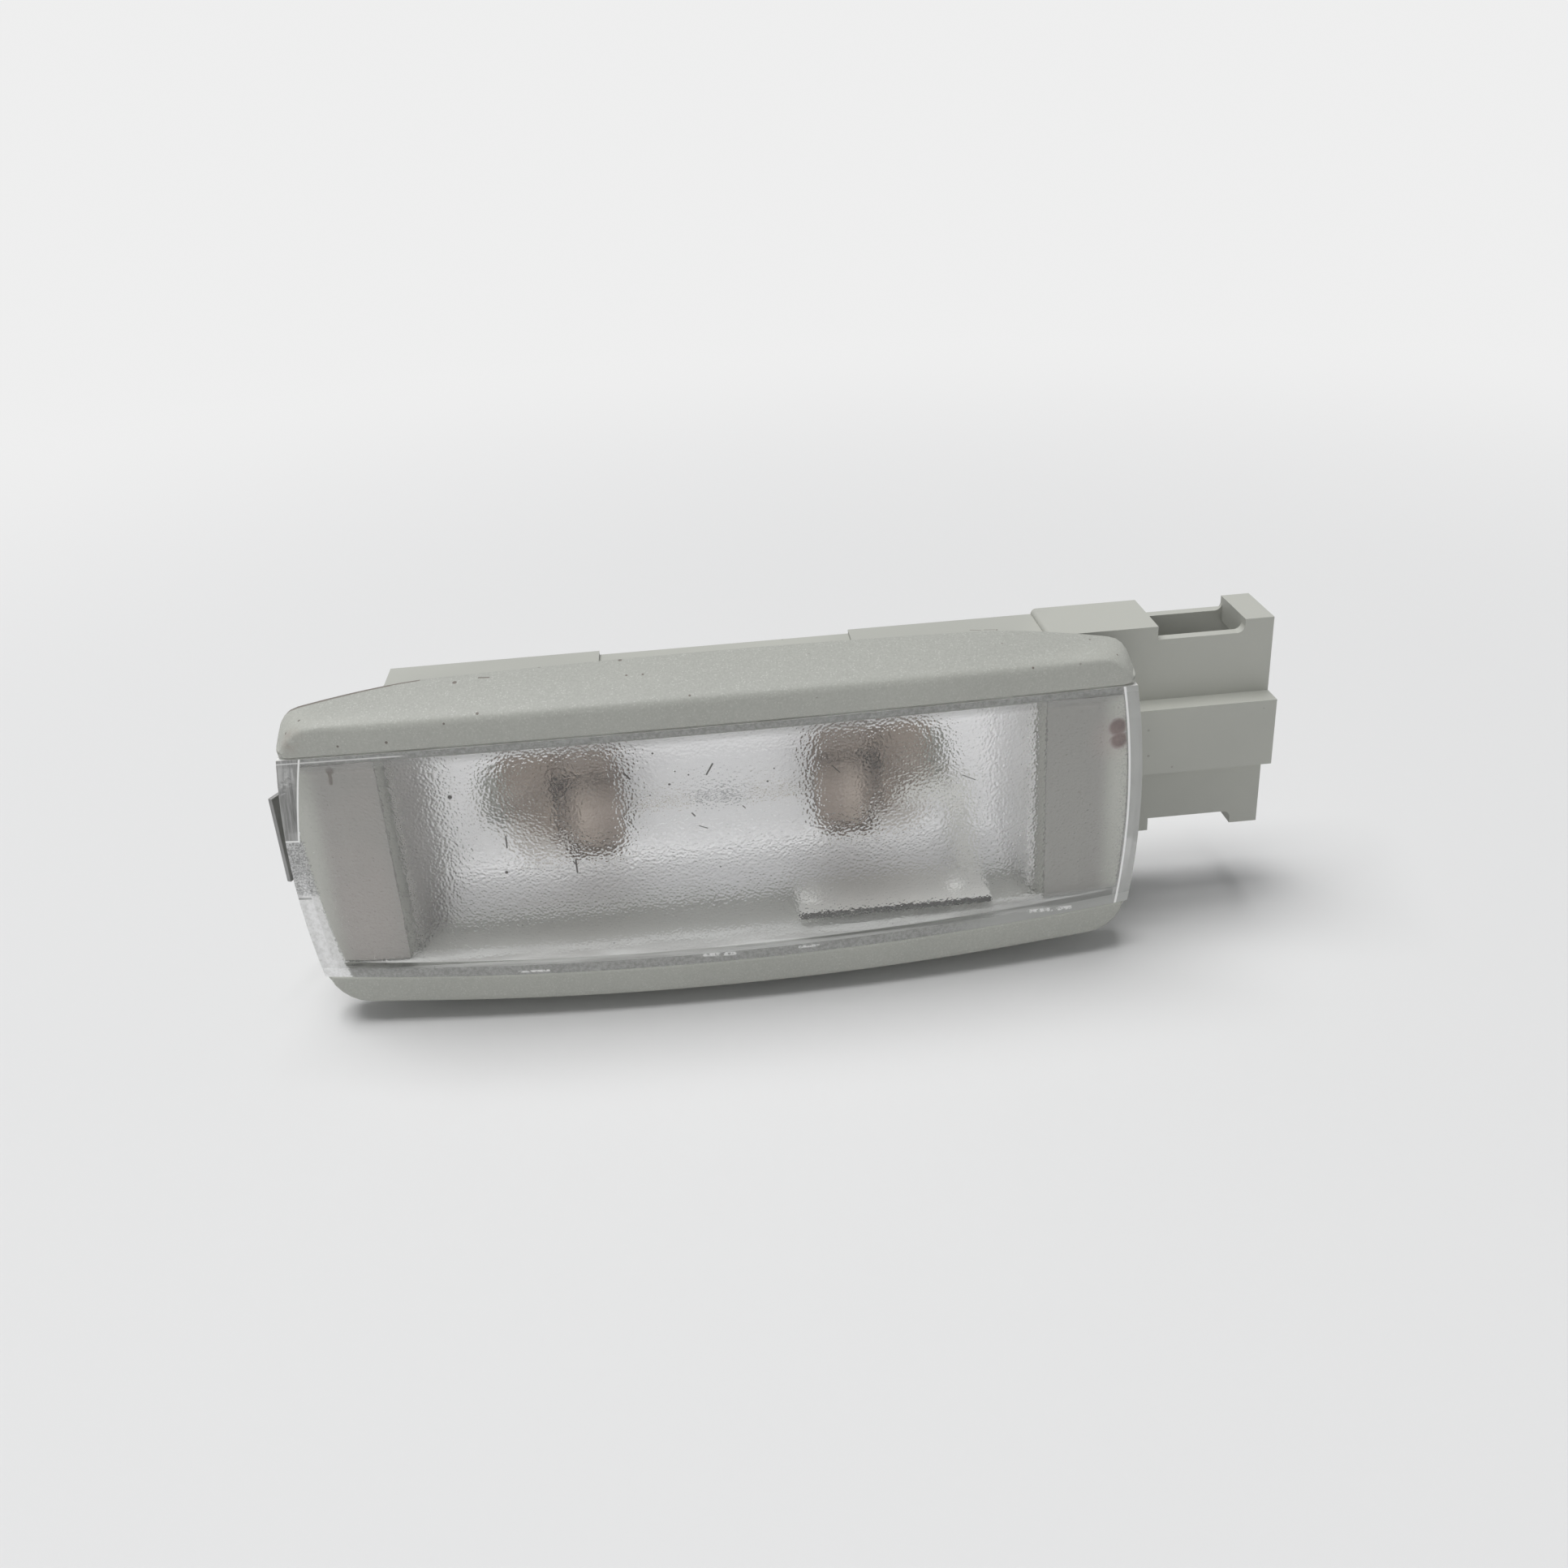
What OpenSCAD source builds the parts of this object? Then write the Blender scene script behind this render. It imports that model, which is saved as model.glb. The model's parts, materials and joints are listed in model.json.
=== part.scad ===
// Snap-in car interior light. Millimetres, +Z up, the lens faces -Y and the plug socket faces +X.
// The origin is the centre of the plane where the two rails rest on the panel.

/* [Lens] */
// Length of the lens between its corners
lens_len = 85.8; // [76:0.2:95]
// Height of the lens at its middle
lens_h = 27; // [26.4:0.2:30]
// How far each long edge bows out at its middle
lens_edge_bow = 0.9; // [0.4:0.1:1.4]
// How far each short edge bows out at its middle
lens_end_bow = 1; // [0.4:0.1:1.4]
// How far the middle of the face stands in front of its ends
face_crown = 3; // [1.5:0.25:4]
// Distance from the panel to the face at its ends
face_depth = 4; // [3.6:0.1:5]
// Thickness of the clear face
lens_t = 1.5; // [1:0.1:1.8]
// Thickness of the lens side walls
lens_wall = 1.2; // [0.8:0.1:1.4]
// Gap between the lens and its frame
lens_gap = 0.1; // [0.05:0.05:0.2]
// Height of the pry slot in the left end wall
pry_slot_h = 8; // [4:0.5:10]
// Length of a snap lug on the lens
lug_len = 3; // [2:0.5:5]
// How far a snap lug stands out of the lens wall
lug_out = 0.35; // [0.2:0.05:0.5]

/* [Rails] */
// Overall length of the two rails
rail_len = 86; // [84:0.2:92]
// Height of a rail above the lens edge
rail_h = 5.1; // [4.2:0.1:6]
// Height of the flat band beside the lens, at the middle
band_h = 3.1; // [2.2:0.1:3.6]
// Thickness of the rail's outer edge
rim_t = 0.7; // [0.5:0.1:1.6]
// Depth of a rail at its very ends
rail_end_t = 2.4; // [1.6:0.1:3]
// Radius of the rail's corners at its back edge
corner_r = 3; // [2:0.25:4.5]
// Radius of the rail's corners on its front band
face_corner_r = 4.5; // [3:0.25:5.5]
// How far the rail's shoulders drop towards the corners
shoulder_drop = 1.2; // [0.4:0.1:1.8]
// Depth of the mould pockets in the back of the rails
pocket_depth = 3.2; // [1:0.2:4]

/* [Case] */
// Depth of the case behind the panel
case_depth = 13.5; // [13.2:0.1:16]
// How far the case stands above the lens, at the top and at the bottom
case_step = 0.55; // [0.4:0.05:1]
// Wall of the case
case_wall = 1.6; // [1.2:0.1:1.8]
// Wall across the back of the case
back_wall = 1.3; // [1:0.1:1.6]
// Length of the case along its back edge
case_len = 68; // [66:0.5:72]
// How much longer the case is at the front, at each end
case_draft = 1.2; // [0.6:0.1:1.6]
// Height of the raised pads on the case
pad_h = 0.45; // [0.2:0.05:0.6]
// Height of the platforms at the ends, above the ledge that carries the lens
platform_h = 1.2; // [0.6:0.1:1.4]

/* [Connector] */
// Height of the connector's middle above the lamp's middle
plug_z = 2.9; // [1:0.1:3]
// Height of the connector shell
shell_h = 21.4; // [19:0.2:21.6]
// How far the connector shell stays in front of the back of the case
shell_inset = 0.2; // [0:0.1:0.8]
// Depth of the connector shell
shell_d = 8.3; // [7.6:0.1:8.4]
// Wall of the connector shell
shell_wall = 1.2; // [0.9:0.1:1.4]
// Length of the connector shell beyond the terminal block
shell_len = 12.5; // [11:0.5:15]
// Where the terminal block ends
block_end = 47.7; // [46:0.1:50]
// Height of the terminal block and of the end bars
block_h = 24.4; // [23:0.1:25]
// Width of the bars that close the latch windows
bar_w = 3.1; // [2:0.1:4]
// Height of the ridge on the front of the connector
ridge_h = 7.6; // [6.4:0.1:9]
// How far the ridge stands out of the front of the connector
ridge_out = 2.7; // [1.6:0.1:3]
// Distance between the two terminal blades
blade_pitch = 10; // [9:0.1:10.6]
// Width of a terminal blade
blade_w = 2.3; // [1.8:0.1:2.6]
// How far a terminal blade stays back from the mouth of the socket
blade_recess = 5; // [4.6:0.1:6]

/* [Bulb] */
// Length of the tubular bulb over its tips
bulb_len = 36; // [34:0.5:38]
// Diameter of the glass
glass_d = 10; // [8.5:0.25:10.5]
// Diameter of the metal caps
cap_d = 8.5; // [7:0.25:9]
// Length of a metal cap
cap_len = 7.6; // [7:0.1:8]
// Gap between the glass and the reflector behind it
bulb_gap = 0.1; // [0.1:0.1:0.6]

/* [Metalwork] */
// Thickness of the bulb contacts
contact_t = 0.5; // [0.3:0.05:0.5]
// Length of a bulb contact's base
contact_len = 12.4; // [11.6:0.1:13]
// Thickness of the stamped strips
strip_t = 0.6; // [0.4:0.05:0.6]
// Thickness of the reflector
mirror_t = 0.6; // [0.4:0.05:0.6]
// Thickness of the spring clip
clip_t = 0.5; // [0.4:0.05:0.6]
// Width of the spring clip
clip_w = 10; // [6:0.5:10]
// Length of the spring clip's free leaf
leaf_len = 10.85; // [9:0.05:11.5]
// Lean of the free leaf at rest
leaf_lean = 27.5; // [24:0.5:30]
// Length of the spring clip's inner leg
leg_len = 6.5; // [4:0.5:7]
// Length of the jumper strip's shelf
shelf_len = 20.6; // [18.4:0.2:21]

/* [Hidden] */

// Small overlap that lets a cut pass through a face
eps = 0.02;
// Facets of the very large arcs, and of the small round features
big_fn = 720;
round_fn = 48;

// Face and lens
half_len = lens_len / 2;
half_h = lens_h / 2;
face_r = (half_len * half_len + face_crown * face_crown) / (2 * face_crown);
edge_r = (half_len * half_len + lens_edge_bow * lens_edge_bow) / (2 * lens_edge_bow);
corner_h = half_h - lens_edge_bow;
end_r = (corner_h * corner_h + lens_end_bow * lens_end_bow) / (2 * lens_end_bow);
lens_half = half_len + lens_end_bow;
ledge_y = -(face_depth - lens_t - 0.7);
end_wall_back = -0.6;
lug_x = [-30, 2, 34];
lug_h = 0.6;
lug_y = ledge_y - lug_h - 0.25;
slot_top = corner_h - 1.3;

// Rails
rail_half = rail_len / 2;
shoulder_x = 28;
corner_x = rail_half - corner_r;
face_corner_x = rail_half - face_corner_r;
seat_in = half_h + case_step + 1.2;
flange_back = -0.4;
rail_pockets = 5;
pocket_pitch = 12.8;
pocket_len = 11;
pocket_h = 1.5;
rail_steps = 24;

// Case
case_half_z = half_h + case_step;
chamber_half_z = case_half_z - case_wall;
chamber_back = case_depth - back_wall;
case_half_back = case_len / 2;
chamber_half_back = case_half_back - case_wall + 0.1;
flange_half = half_len - 0.4;
block_start = case_half_back + 2;
pads = [[-case_half_back, -11.5], [15.7, block_start]];
platform_front = ledge_y - platform_h;

// Spring clip and the tower that carries it
clip_play = 0.3;
tower_wall = 1.4;
bend_in = tower_wall / 2 + clip_play;
bend_out = bend_in + clip_t;
bend_mid = bend_in + clip_t / 2;
clip_x = -40.6;
clip_y = case_depth - 0.9;
tower_half_z = clip_w / 2 + 1.6;
tower_side = 1.2;

// Connector
shell_back = case_depth - shell_inset;
shell_front = shell_back - shell_d;
shell_end = block_end + shell_len;
step_r = 0.6;
ridge_front = shell_front - ridge_out;
socket_floor = block_end - 0.8;
floor_wall = 1.5;
bar_back = shell_back - 0.7;
window_fillet = 0.8;
blade_y = (shell_front + shell_back) / 2;
blade_end = shell_end - blade_recess;
earth_z = plug_z + blade_pitch / 2;
live_z = plug_z - blade_pitch / 2;
slot_play = 0.25;

// Layers behind the bulb
foot_h = 1;
mirror_back = chamber_back - foot_h;
mirror_front = mirror_back - mirror_t;
bulb_y = mirror_front - bulb_gap - glass_d / 2;
contact_front = bulb_y + cap_d / 2 + 0.2;
contact_back = contact_front + contact_t;
strip_back = chamber_back - 0.2;
strip_mid = strip_back - strip_t / 2;
pad_mid = contact_back + strip_t / 2;

// Reflector
mirror_play = 0.15;
mirror_half_z = chamber_half_z - mirror_play;
trough_r = 6.2;
dish_r = 3.4;
top_lip = 0;
bottom_lip = mirror_back - 6.6;
foot_x = [7, chamber_half_back - 3.5];
foot_len = 2.4;
foot_w = 1.2;

// Bulb
cap_r = cap_d / 2;
glass_r = glass_d / 2;
cap_inner = bulb_len / 2 - cap_len;
cap_t = 0.3;
neck_r = cap_r - cap_t - 0.05;
neck_len = 2.6;
glass_t = 0.5;
tip_r = 1.2;
tip_h = 0.6;
lead_r = 0.2;
filament_half = 3;
coil_r = 0.45;
coil_wire_r = 0.1;
coil_turns = 9;

// Contacts
contact_in = cap_inner + 0.7;
contact_out = contact_in + contact_len;
contact_half_z = cap_r + 0.1 + contact_t;
jaw_in = contact_in + 0.1;
jaw_out = jaw_in + 5.4;
jaw_front = bulb_y - 1.6;
blade_x = bulb_len / 2 - 0.5;
rivet_x = contact_out - 2.1;
rivet_r = 1.1;
rivet_head_r = 1.8;
rivet_head_h = 0.55;
pad_half = 2;
post_r = 1.1;
post_x = contact_in + 2.6;
post_z = 1.8;
window_half_z = 3.3;
foot_z = window_half_z + 0.9;

// Jumper strip
shelf_x = 7.4;
shelf_rise = 2;
shelf_top = -chamber_half_z + shelf_rise;
shelf_front = -3.6;
shelf_back = 3.6;
riser_w = 2.4;
riser_x = shelf_x + shelf_len - riser_w;
riser_mid = contact_front - strip_t / 2;
riser_top = -2.6;
riser_bend = -6.2;
stake_x = [shelf_x + 1.5, riser_x - 1];
stake_y = 0.1;
stake_post_r = 1.6;
stake_r = 0.8;
stake_head_r = 1.5;
stake_head_h = 0.5;

// Height of an arc of radius r below its crown, at distance x from the middle
function sag(r, x) = r - sqrt(max(0, r * r - x * x));
// Front of the face at x
function face_y(x) = -face_depth - face_crown + sag(face_r, min(abs(x), half_len));
// Inner edge of a rail at x
function seam_z(x) = half_h + lens_gap - sag(edge_r, x);
// Outer edge of a rail at x, without its corner
function shoulder_z(x) = seam_z(x) + rail_h
    - shoulder_drop * pow(max(0, (abs(x) - shoulder_x) / (corner_x - shoulder_x)), 1.5);
// Outer edge of a rail at x
function rim_z(x) = abs(x) <= corner_x ? shoulder_z(x)
    : min(shoulder_z(x), shoulder_z(corner_x) - sag(corner_r, abs(x) - corner_x));
// Height of the front band at x, before it is trimmed to the rail
function band_at(x) = abs(x) <= face_corner_x ? band_h
    : seam_z(face_corner_x) - seam_z(x) + band_h - sag(face_corner_r, abs(x) - face_corner_x);
// Share from 0 to 1 of the way round a rail's end
function end_share(x) = max(0, (abs(x) - rail_half + 1.2) / 1.2);
// Half length of the case at y
function case_half(y) = case_half_back + case_draft * (case_depth - y) / (case_depth - ledge_y);
// Half length of the lamp chamber at y
function chamber_half(y) = case_half(y) - case_half_back + chamber_half_back;
// Points on an arc, without its centre
function arc(c, r, a0, a1, n = 10) = [for (i = [0:n]) c + r * [cos(a0 + (a1 - a0) * i / n),
                                                              sin(a0 + (a1 - a0) * i / n)]];
// Vector of length one, and the same vector turned a quarter turn
function unit(v) = v / norm(v);
function turned(v) = [-v[1], v[0]];
// Way from point i of a bent line to the corner of a band of half width h around it
function corner_shift(line, i, h) =
    let (before = unit(line[max(i, 1)] - line[max(i, 1) - 1]),
         last = len(line) - 1,
         after = unit(line[min(i + 1, last)] - line[min(i + 1, last) - 1]),
         way = unit(turned(before) + turned(after)))
    way * h / (way * turned(before));
// Outline of a band of width t around a bent line
function band(line, t) = concat(
    [for (i = [0:len(line) - 1]) line[i] + corner_shift(line, i, t / 2)],
    [for (i = [len(line) - 1:-1:0]) line[i] - corner_shift(line, i, t / 2)]);

// Draws a flat shape given in (x, z) and runs it from y0 to y1
module along_y(y0, y1) {
    translate([0, y1, 0])
        rotate([90, 0, 0])
            linear_extrude(y1 - y0)
                children();
}

// Draws a flat shape given in (y, z) and runs it from x0 to x1
module along_x(x0, x1) {
    translate([x0, 0, 0])
        rotate([90, 0, 90])
            linear_extrude(x1 - x0)
                children();
}

// Draws a flat shape given in (x, y) and runs it from z0 to z1
module along_z(z0, z1) {
    translate([0, 0, z0])
        linear_extrude(z1 - z0)
            children();
}

// Box between two corners
module block(a, b) {
    translate(a)
        cube(b - a);
}

// Puts a copy above and a copy below the middle
module both_z() {
    children();
    mirror([0, 0, 1])
        children();
}

// Puts a copy to the right and a copy to the left of the middle
module both_x() {
    children();
    mirror([1, 0, 0])
        children();
}

// Outline of the face in (x, z) as the overlap of its four arcs, moved inwards
module arc_outline(inset, end_inset) {
    intersection() {
        translate([0, half_h - edge_r])
            circle(edge_r - inset, $fn = big_fn);
        translate([0, edge_r - half_h])
            circle(edge_r - inset, $fn = big_fn);
        translate([lens_half - end_r, 0])
            circle(end_r - end_inset, $fn = big_fn);
        translate([end_r - lens_half, 0])
            circle(end_r - end_inset, $fn = big_fn);
    }
}

// Everything behind the crowned face, moved back by t
module behind_face(t) {
    translate([0, face_r - face_depth - face_crown, -lens_h])
        cylinder(r = face_r - t, h = 2 * lens_h, $fn = big_fn);
}

// Cross-section of the upper rail at x, as points in (y, z)
function rail_section(x) =
    let (e = end_share(x),
         roll = 1 - sqrt(max(0, 1 - e * e)),
         soft = 1 - 0.9 * roll,
         front = face_y(x) - (rail_end_t + face_y(x)) * roll,
         low = seam_z(x) + 0.5 * e * e,
         high = max(rim_z(x), low + 0.6),
         band = max(0.3, min(band_at(x) - 0.5 * e * e, high - low - 0.25)),
         edge = 0.3 * soft,
         turn = max(0.02, min(0.8, (high - low - band) / 2) * soft),
         slope_y = front + turn * 1.05,
         slope_z = low + band + turn * 0.35,
         run = -rim_t - slope_y,
         rise = high - 0.1 * soft - slope_z,
         bulge = min(0.22, rise * 0.13) * soft)
    [[front + edge, low],
     [front + edge * 0.3, low + edge * 0.3],
     [front, low + edge],
     [front, low + band - turn],
     [front + turn * 0.15, low + band - turn * 0.4],
     [front + turn * 0.45, low + band],
     [slope_y, slope_z],
     [slope_y + run * 0.3, slope_z + rise * 0.3 + bulge * 0.84],
     [slope_y + run * 0.65, slope_z + rise * 0.65 + bulge * 0.91],
     [-rim_t, high - 0.1 * soft],
     [-rim_t * 0.5, high],
     [-0.15, high],
     [0, high - 0.15],
     [0, low]];

// One rail, swept along the curve of the face
module rail() {
    xs = [for (i = [-rail_steps:rail_steps]) rail_half * sin(90 * i / rail_steps)];
    rings = [for (x = xs) [for (p = rail_section(x)) [x, p[0], p[1]]]];
    n = len(rings[0]);
    m = len(rings);
    polyhedron(
        points = [for (r = rings) for (p = r) p],
        faces = concat(
            [[for (k = [0:n - 1]) n - 1 - k]],
            [[for (k = [0:n - 1]) (m - 1) * n + k]],
            [for (i = [0:m - 2]) for (k = [0:n - 1])
                [i * n + k, (i + 1) * n + (k + 1) % n, (i + 1) * n + k]],
            [for (i = [0:m - 2]) for (k = [0:n - 1])
                [i * n + k, i * n + (k + 1) % n, (i + 1) * n + (k + 1) % n]]),
        convexity = 4);
}

// Rear pockets that keep the wall of a rail even
module rail_pocket_cuts() {
    for (i = [0:rail_pockets - 1]) {
        x = (i - (rail_pockets - 1) / 2) * pocket_pitch;
        block([x - pocket_len / 2, -pocket_depth, seat_in],
              [x + pocket_len / 2, eps, seat_in + pocket_h]);
    }
}

// Grooves in a rail for the snap lugs of the lens
module lug_grooves() {
    for (x = lug_x) {
        z = half_h - sag(edge_r, x);
        block([x - lug_len / 2 - lens_gap, lug_y - lug_h - lens_gap, z - lens_edge_bow],
              [x + lug_len / 2 + lens_gap, lug_y + lug_h + lens_gap, z + lug_out + lens_gap]);
    }
}

// Tapered box of the case, half length given at the back and at the front
module tapered_box(half_back, half_front, y0, y1, half_z) {
    along_z(-half_z, half_z)
        polygon([[-half_front, y0], [half_front, y0], [half_back, y1], [-half_back, y1]]);
}

// Flange, end platforms and ledge that carry the lens
module front_frame() {
    along_y(ledge_y, flange_back)
        intersection() {
            arc_outline(-1, lens_half - flange_half);
            square([4 * half_len, 2 * (half_h + 0.6)], center = true);
        }
    intersection() {
        along_y(platform_front, flange_back)
            arc_outline(lens_wall + 2 * lens_gap, lens_half - flange_half);
        behind_face(lens_t + 2 * lens_gap);
    }
}

// Tower at the left end over which the spring clip is pushed
module clip_tower() {
    difference() {
        block([clip_x - tower_wall / 2, flange_back - eps, -tower_half_z],
              [-case_half_back + eps, clip_y - clip_play, tower_half_z]);
        block([clip_x + tower_wall / 2, 2, -tower_half_z + tower_side],
              [-case_half(clip_y), case_depth, tower_half_z - tower_side]);
    }
}

// Outline of the connector in (y, z), with its ridge, moved inwards by t
module shell_outline(t) {
    translate([shell_front + t, plug_z - shell_h / 2 + t])
        square([shell_d - 2 * t, shell_h - 2 * t]);
    translate([ridge_front + t, plug_z - ridge_h / 2 + t])
        square([ridge_out + shell_d / 2, ridge_h - 2 * t]);
}

// Latch window in the upper wall of the shell, cut from above
module latch_window() {
    block([block_end + 0.2, shell_front + shell_wall, plug_z],
          [shell_end - bar_w, shell_back - shell_wall, plug_z + block_h]);
}

// Bar that closes a latch window, with the fillet at its root
module end_bar() {
    block([shell_end - bar_w, shell_front, plug_z + shell_h / 2 - shell_wall],
          [shell_end, bar_back, plug_z + block_h / 2]);
    difference() {
        block([shell_end - bar_w - window_fillet, shell_front, plug_z + shell_h / 2 - eps],
              [shell_end - bar_w + eps, bar_back, plug_z + shell_h / 2 + window_fillet]);
        translate([shell_end - bar_w - window_fillet, 0, plug_z + shell_h / 2 + window_fillet])
            rotate([-90, 0, 0])
                cylinder(r = window_fillet, h = 2 * bar_back, $fn = round_fn);
    }
}

// Puts a copy on each side of the connector's middle height
module both_sides_of_plug() {
    children();
    translate([0, 0, 2 * plug_z])
        mirror([0, 0, 1])
            children();
}

// Terminal block, plug socket and ridge
module connector() {
    difference() {
        union() {
            block([case_half_back - eps, shell_front, plug_z - block_h / 2],
                  [block_end, case_depth, case_half_z]);
            along_y(shell_front, case_depth) {
                translate([block_start + step_r, plug_z + block_h / 2 - step_r])
                    circle(step_r, $fn = round_fn);
                translate([block_start, plug_z])
                    square([2 * step_r, block_h / 2 - step_r]);
                translate([block_start + step_r, plug_z])
                    square([block_end - block_start - step_r, block_h / 2]);
            }
            along_x(case_half_back - eps, shell_end)
                shell_outline(0);
            both_sides_of_plug()
                end_bar();
        }
        along_x(socket_floor, shell_end + eps)
            shell_outline(shell_wall);
        both_sides_of_plug()
            latch_window();
        for (z = [earth_z, live_z]) {
            block([block_start + 0.8, blade_y - strip_t / 2 - 1, z - blade_w / 2 - 0.9],
                  [socket_floor - floor_wall, case_depth + eps, z + blade_w / 2 + 0.9]);
            block([socket_floor - floor_wall - eps, blade_y - strip_t / 2 - slot_play / 2,
                   z - blade_w / 2 - slot_play / 2],
                  [socket_floor + eps, blade_y + strip_t / 2 + slot_play / 2,
                   z + blade_w / 2 + slot_play / 2]);
        }
    }
}

// Small feet, posts and bosses that carry the pieces in the lamp chamber
module chamber_details() {
    for (x = foot_x)
        both_x()
            both_z()
                block([x - foot_len / 2, mirror_back, foot_z],
                      [x + foot_len / 2, chamber_back + eps, foot_z + foot_w]);
    both_x()
        both_z()
            translate([post_x, contact_back, post_z])
                rotate([-90, 0, 0])
                    cylinder(r = post_r, h = chamber_back - contact_back + eps, $fn = round_fn);
    for (x = stake_x)
        translate([x, stake_y, -chamber_half_z - eps])
            cylinder(r = stake_post_r, h = chamber_half_z + eps + shelf_top - strip_t, $fn = round_fn);
}

// One-piece moulded housing
module housing() {
    color([0.64, 0.65, 0.62])
        difference() {
            union() {
                both_z()
                    difference() {
                        rail();
                        rail_pocket_cuts();
                        block([-rail_len, flange_back, 0], [rail_len, eps, seat_in]);
                        lug_grooves();
                    }
                difference() {
                    union() {
                        front_frame();
                        tapered_box(case_half(case_depth), case_half(ledge_y), ledge_y, case_depth,
                                    case_half_z);
                        both_z()
                            for (p = pads)
                                block([p[0], flange_back, case_half_z - eps],
                                      [p[1], case_depth, case_half_z + pad_h]);
                        clip_tower();
                        connector();
                    }
                    tapered_box(chamber_half(chamber_back), chamber_half(platform_front - 1),
                                platform_front - 1, chamber_back, chamber_half_z);
                    for (z = [earth_z, live_z])
                        block([chamber_half_back - 1, blade_y - strip_t / 2 - slot_play,
                               z - blade_w / 2 - slot_play],
                              [block_start + 1, strip_back + slot_play, z + blade_w / 2 + slot_play]);
                }
                chamber_details();
            }
            for (x = stake_x)
                translate([x, stake_y, -chamber_half_z])
                    cylinder(r = stake_r, h = chamber_half_z, $fn = round_fn);
        }
}

// Clear moulded lens with its side walls and snap lugs
module lens() {
    front = -face_depth - face_crown - 1;
    color([0.9, 0.92, 0.93, 0.35])
        difference() {
            union() {
                difference() {
                    intersection() {
                        behind_face(0);
                        union() {
                            along_y(front, ledge_y)
                                arc_outline(0, 0);
                            along_y(front, end_wall_back)
                                difference() {
                                    arc_outline(0, 0);
                                    arc_outline(-1, lens_wall);
                                }
                        }
                    }
                    intersection() {
                        behind_face(lens_t);
                        along_y(front, 1)
                            arc_outline(lens_wall, lens_wall);
                    }
                }
                both_z()
                    for (x = lug_x)
                        translate([0, lug_y, half_h - sag(edge_r, x)])
                            along_x(x - lug_len / 2, x + lug_len / 2)
                                polygon([[-lug_h, -lens_wall / 2], [-lug_h, 0], [0, lug_out],
                                         [lug_h, 0], [lug_h, -lens_wall / 2]]);
            }
            block([-lens_half - 1, -face_depth + lens_t, slot_top - pry_slot_h],
                  [-flange_half + lens_end_bow, 1, slot_top]);
        }
}

// Plan of the reflector dish in (x, y), moved inwards by d
module dish_plan(d) {
    y1 = mirror_back - d;
    r = dish_r - d;
    lean = atan(case_draft / (case_depth - ledge_y));
    cx = chamber_half(y1 - r) - mirror_play - d / cos(lean) - r / cos(lean);
    side = chamber_half(top_lip) - mirror_play - d / cos(lean);
    right = concat([[side, top_lip]], arc([cx, y1 - r], r, lean, 90));
    polygon(concat(right, [for (i = [len(right) - 1:-1:0]) [-right[i][0], right[i][1]]]));
}

// Profile of the reflector trough in (y, z), moved inwards by d
module trough_profile(d) {
    c = [mirror_back - trough_r, mirror_half_z - trough_r];
    for (s = [-1, 1])
        translate([c[0], s * c[1]])
            circle(trough_r - d, $fn = 2 * round_fn);
    translate([top_lip - 1, -mirror_half_z + d])
        square([c[0] - top_lip + 1, 2 * (mirror_half_z - d)]);
    translate([top_lip - 1, -c[1]])
        square([mirror_back - d - top_lip + 1, 2 * c[1]]);
}

// Silvered dish behind the bulb
module reflector() {
    color([0.86, 0.87, 0.9])
        difference() {
            intersection() {
                along_x(-half_len, half_len)
                    trough_profile(0);
                along_z(-half_h, half_h)
                    dish_plan(0);
            }
            intersection() {
                along_x(-half_len, half_len)
                    trough_profile(mirror_t);
                translate([0, -eps, 0])
                    along_z(-half_h, half_h)
                        dish_plan(mirror_t);
            }
            block([-half_len, -1, -half_h],
                  [half_len, bottom_lip, -mirror_half_z + mirror_t + eps]);
            both_x()
                block([contact_in + 1, mirror_front - 1, -window_half_z],
                      [contact_out + 2.2, mirror_back + 1, window_half_z]);
        }
}

// Turns an upright piece so that its height runs along +X
module upright_to_x() {
    rotate([0, 90, 0])
        children();
}

// Glass tube of the bulb
module bulb_glass() {
    end = cap_inner + neck_len;
    outer = concat([[neck_r, end], [neck_r, cap_inner - 0.3]],
                   arc([glass_r - 2.4, cap_inner - 2.9], 2.4, 60, 0, 6));
    inner = [for (p = outer) [p[0] - glass_t, p[1]]];
    half_turn = function (l) [for (i = [len(l) - 1:-1:0]) [l[i][0], -l[i][1]]];
    color([0.93, 0.95, 0.96, 0.35])
        translate([0, bulb_y, 0])
            upright_to_x()
                rotate_extrude($fn = 2 * round_fn)
                    polygon(concat(outer, half_turn(outer), [for (i = [0:len(inner) - 1])
                        [inner[i][0], -inner[i][1]]], half_turn([for (p = inner) [p[0], -p[1]]])));
}

// Right-hand cap of the bulb
module bulb_cap() {
    cone = cap_inner + 4.6;
    tip = bulb_len / 2 - tip_h;
    color([0.72, 0.72, 0.7])
        translate([0, bulb_y, 0])
            upright_to_x()
                rotate_extrude($fn = 2 * round_fn)
                    polygon([[cap_r - cap_t, cap_inner], [cap_r, cap_inner], [cap_r, cone],
                             [tip_r + 0.3, tip - 0.2], [tip_r + 0.1, tip], [0, tip],
                             [0, tip - cap_t], [tip_r, tip - cap_t], [cap_r - cap_t, cone - 0.1]]);
}

module bulb_cap_right() {
    bulb_cap();
}

module bulb_cap_left() {
    mirror([1, 0, 0])
        bulb_cap();
}

// Low dome of radius r and height h, standing on the origin plane
module dome(r, h) {
    ball = (r * r + h * h) / (2 * h);
    intersection() {
        translate([0, 0, h - ball])
            sphere(ball, $fn = round_fn);
        cylinder(r = r, h = h, $fn = round_fn);
    }
}

// Drop of solder on the right-hand tip of the bulb
module solder() {
    color([0.6, 0.6, 0.62])
        translate([bulb_len / 2 - tip_h, bulb_y, 0])
            upright_to_x()
                dome(tip_r, tip_h);
}

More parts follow.
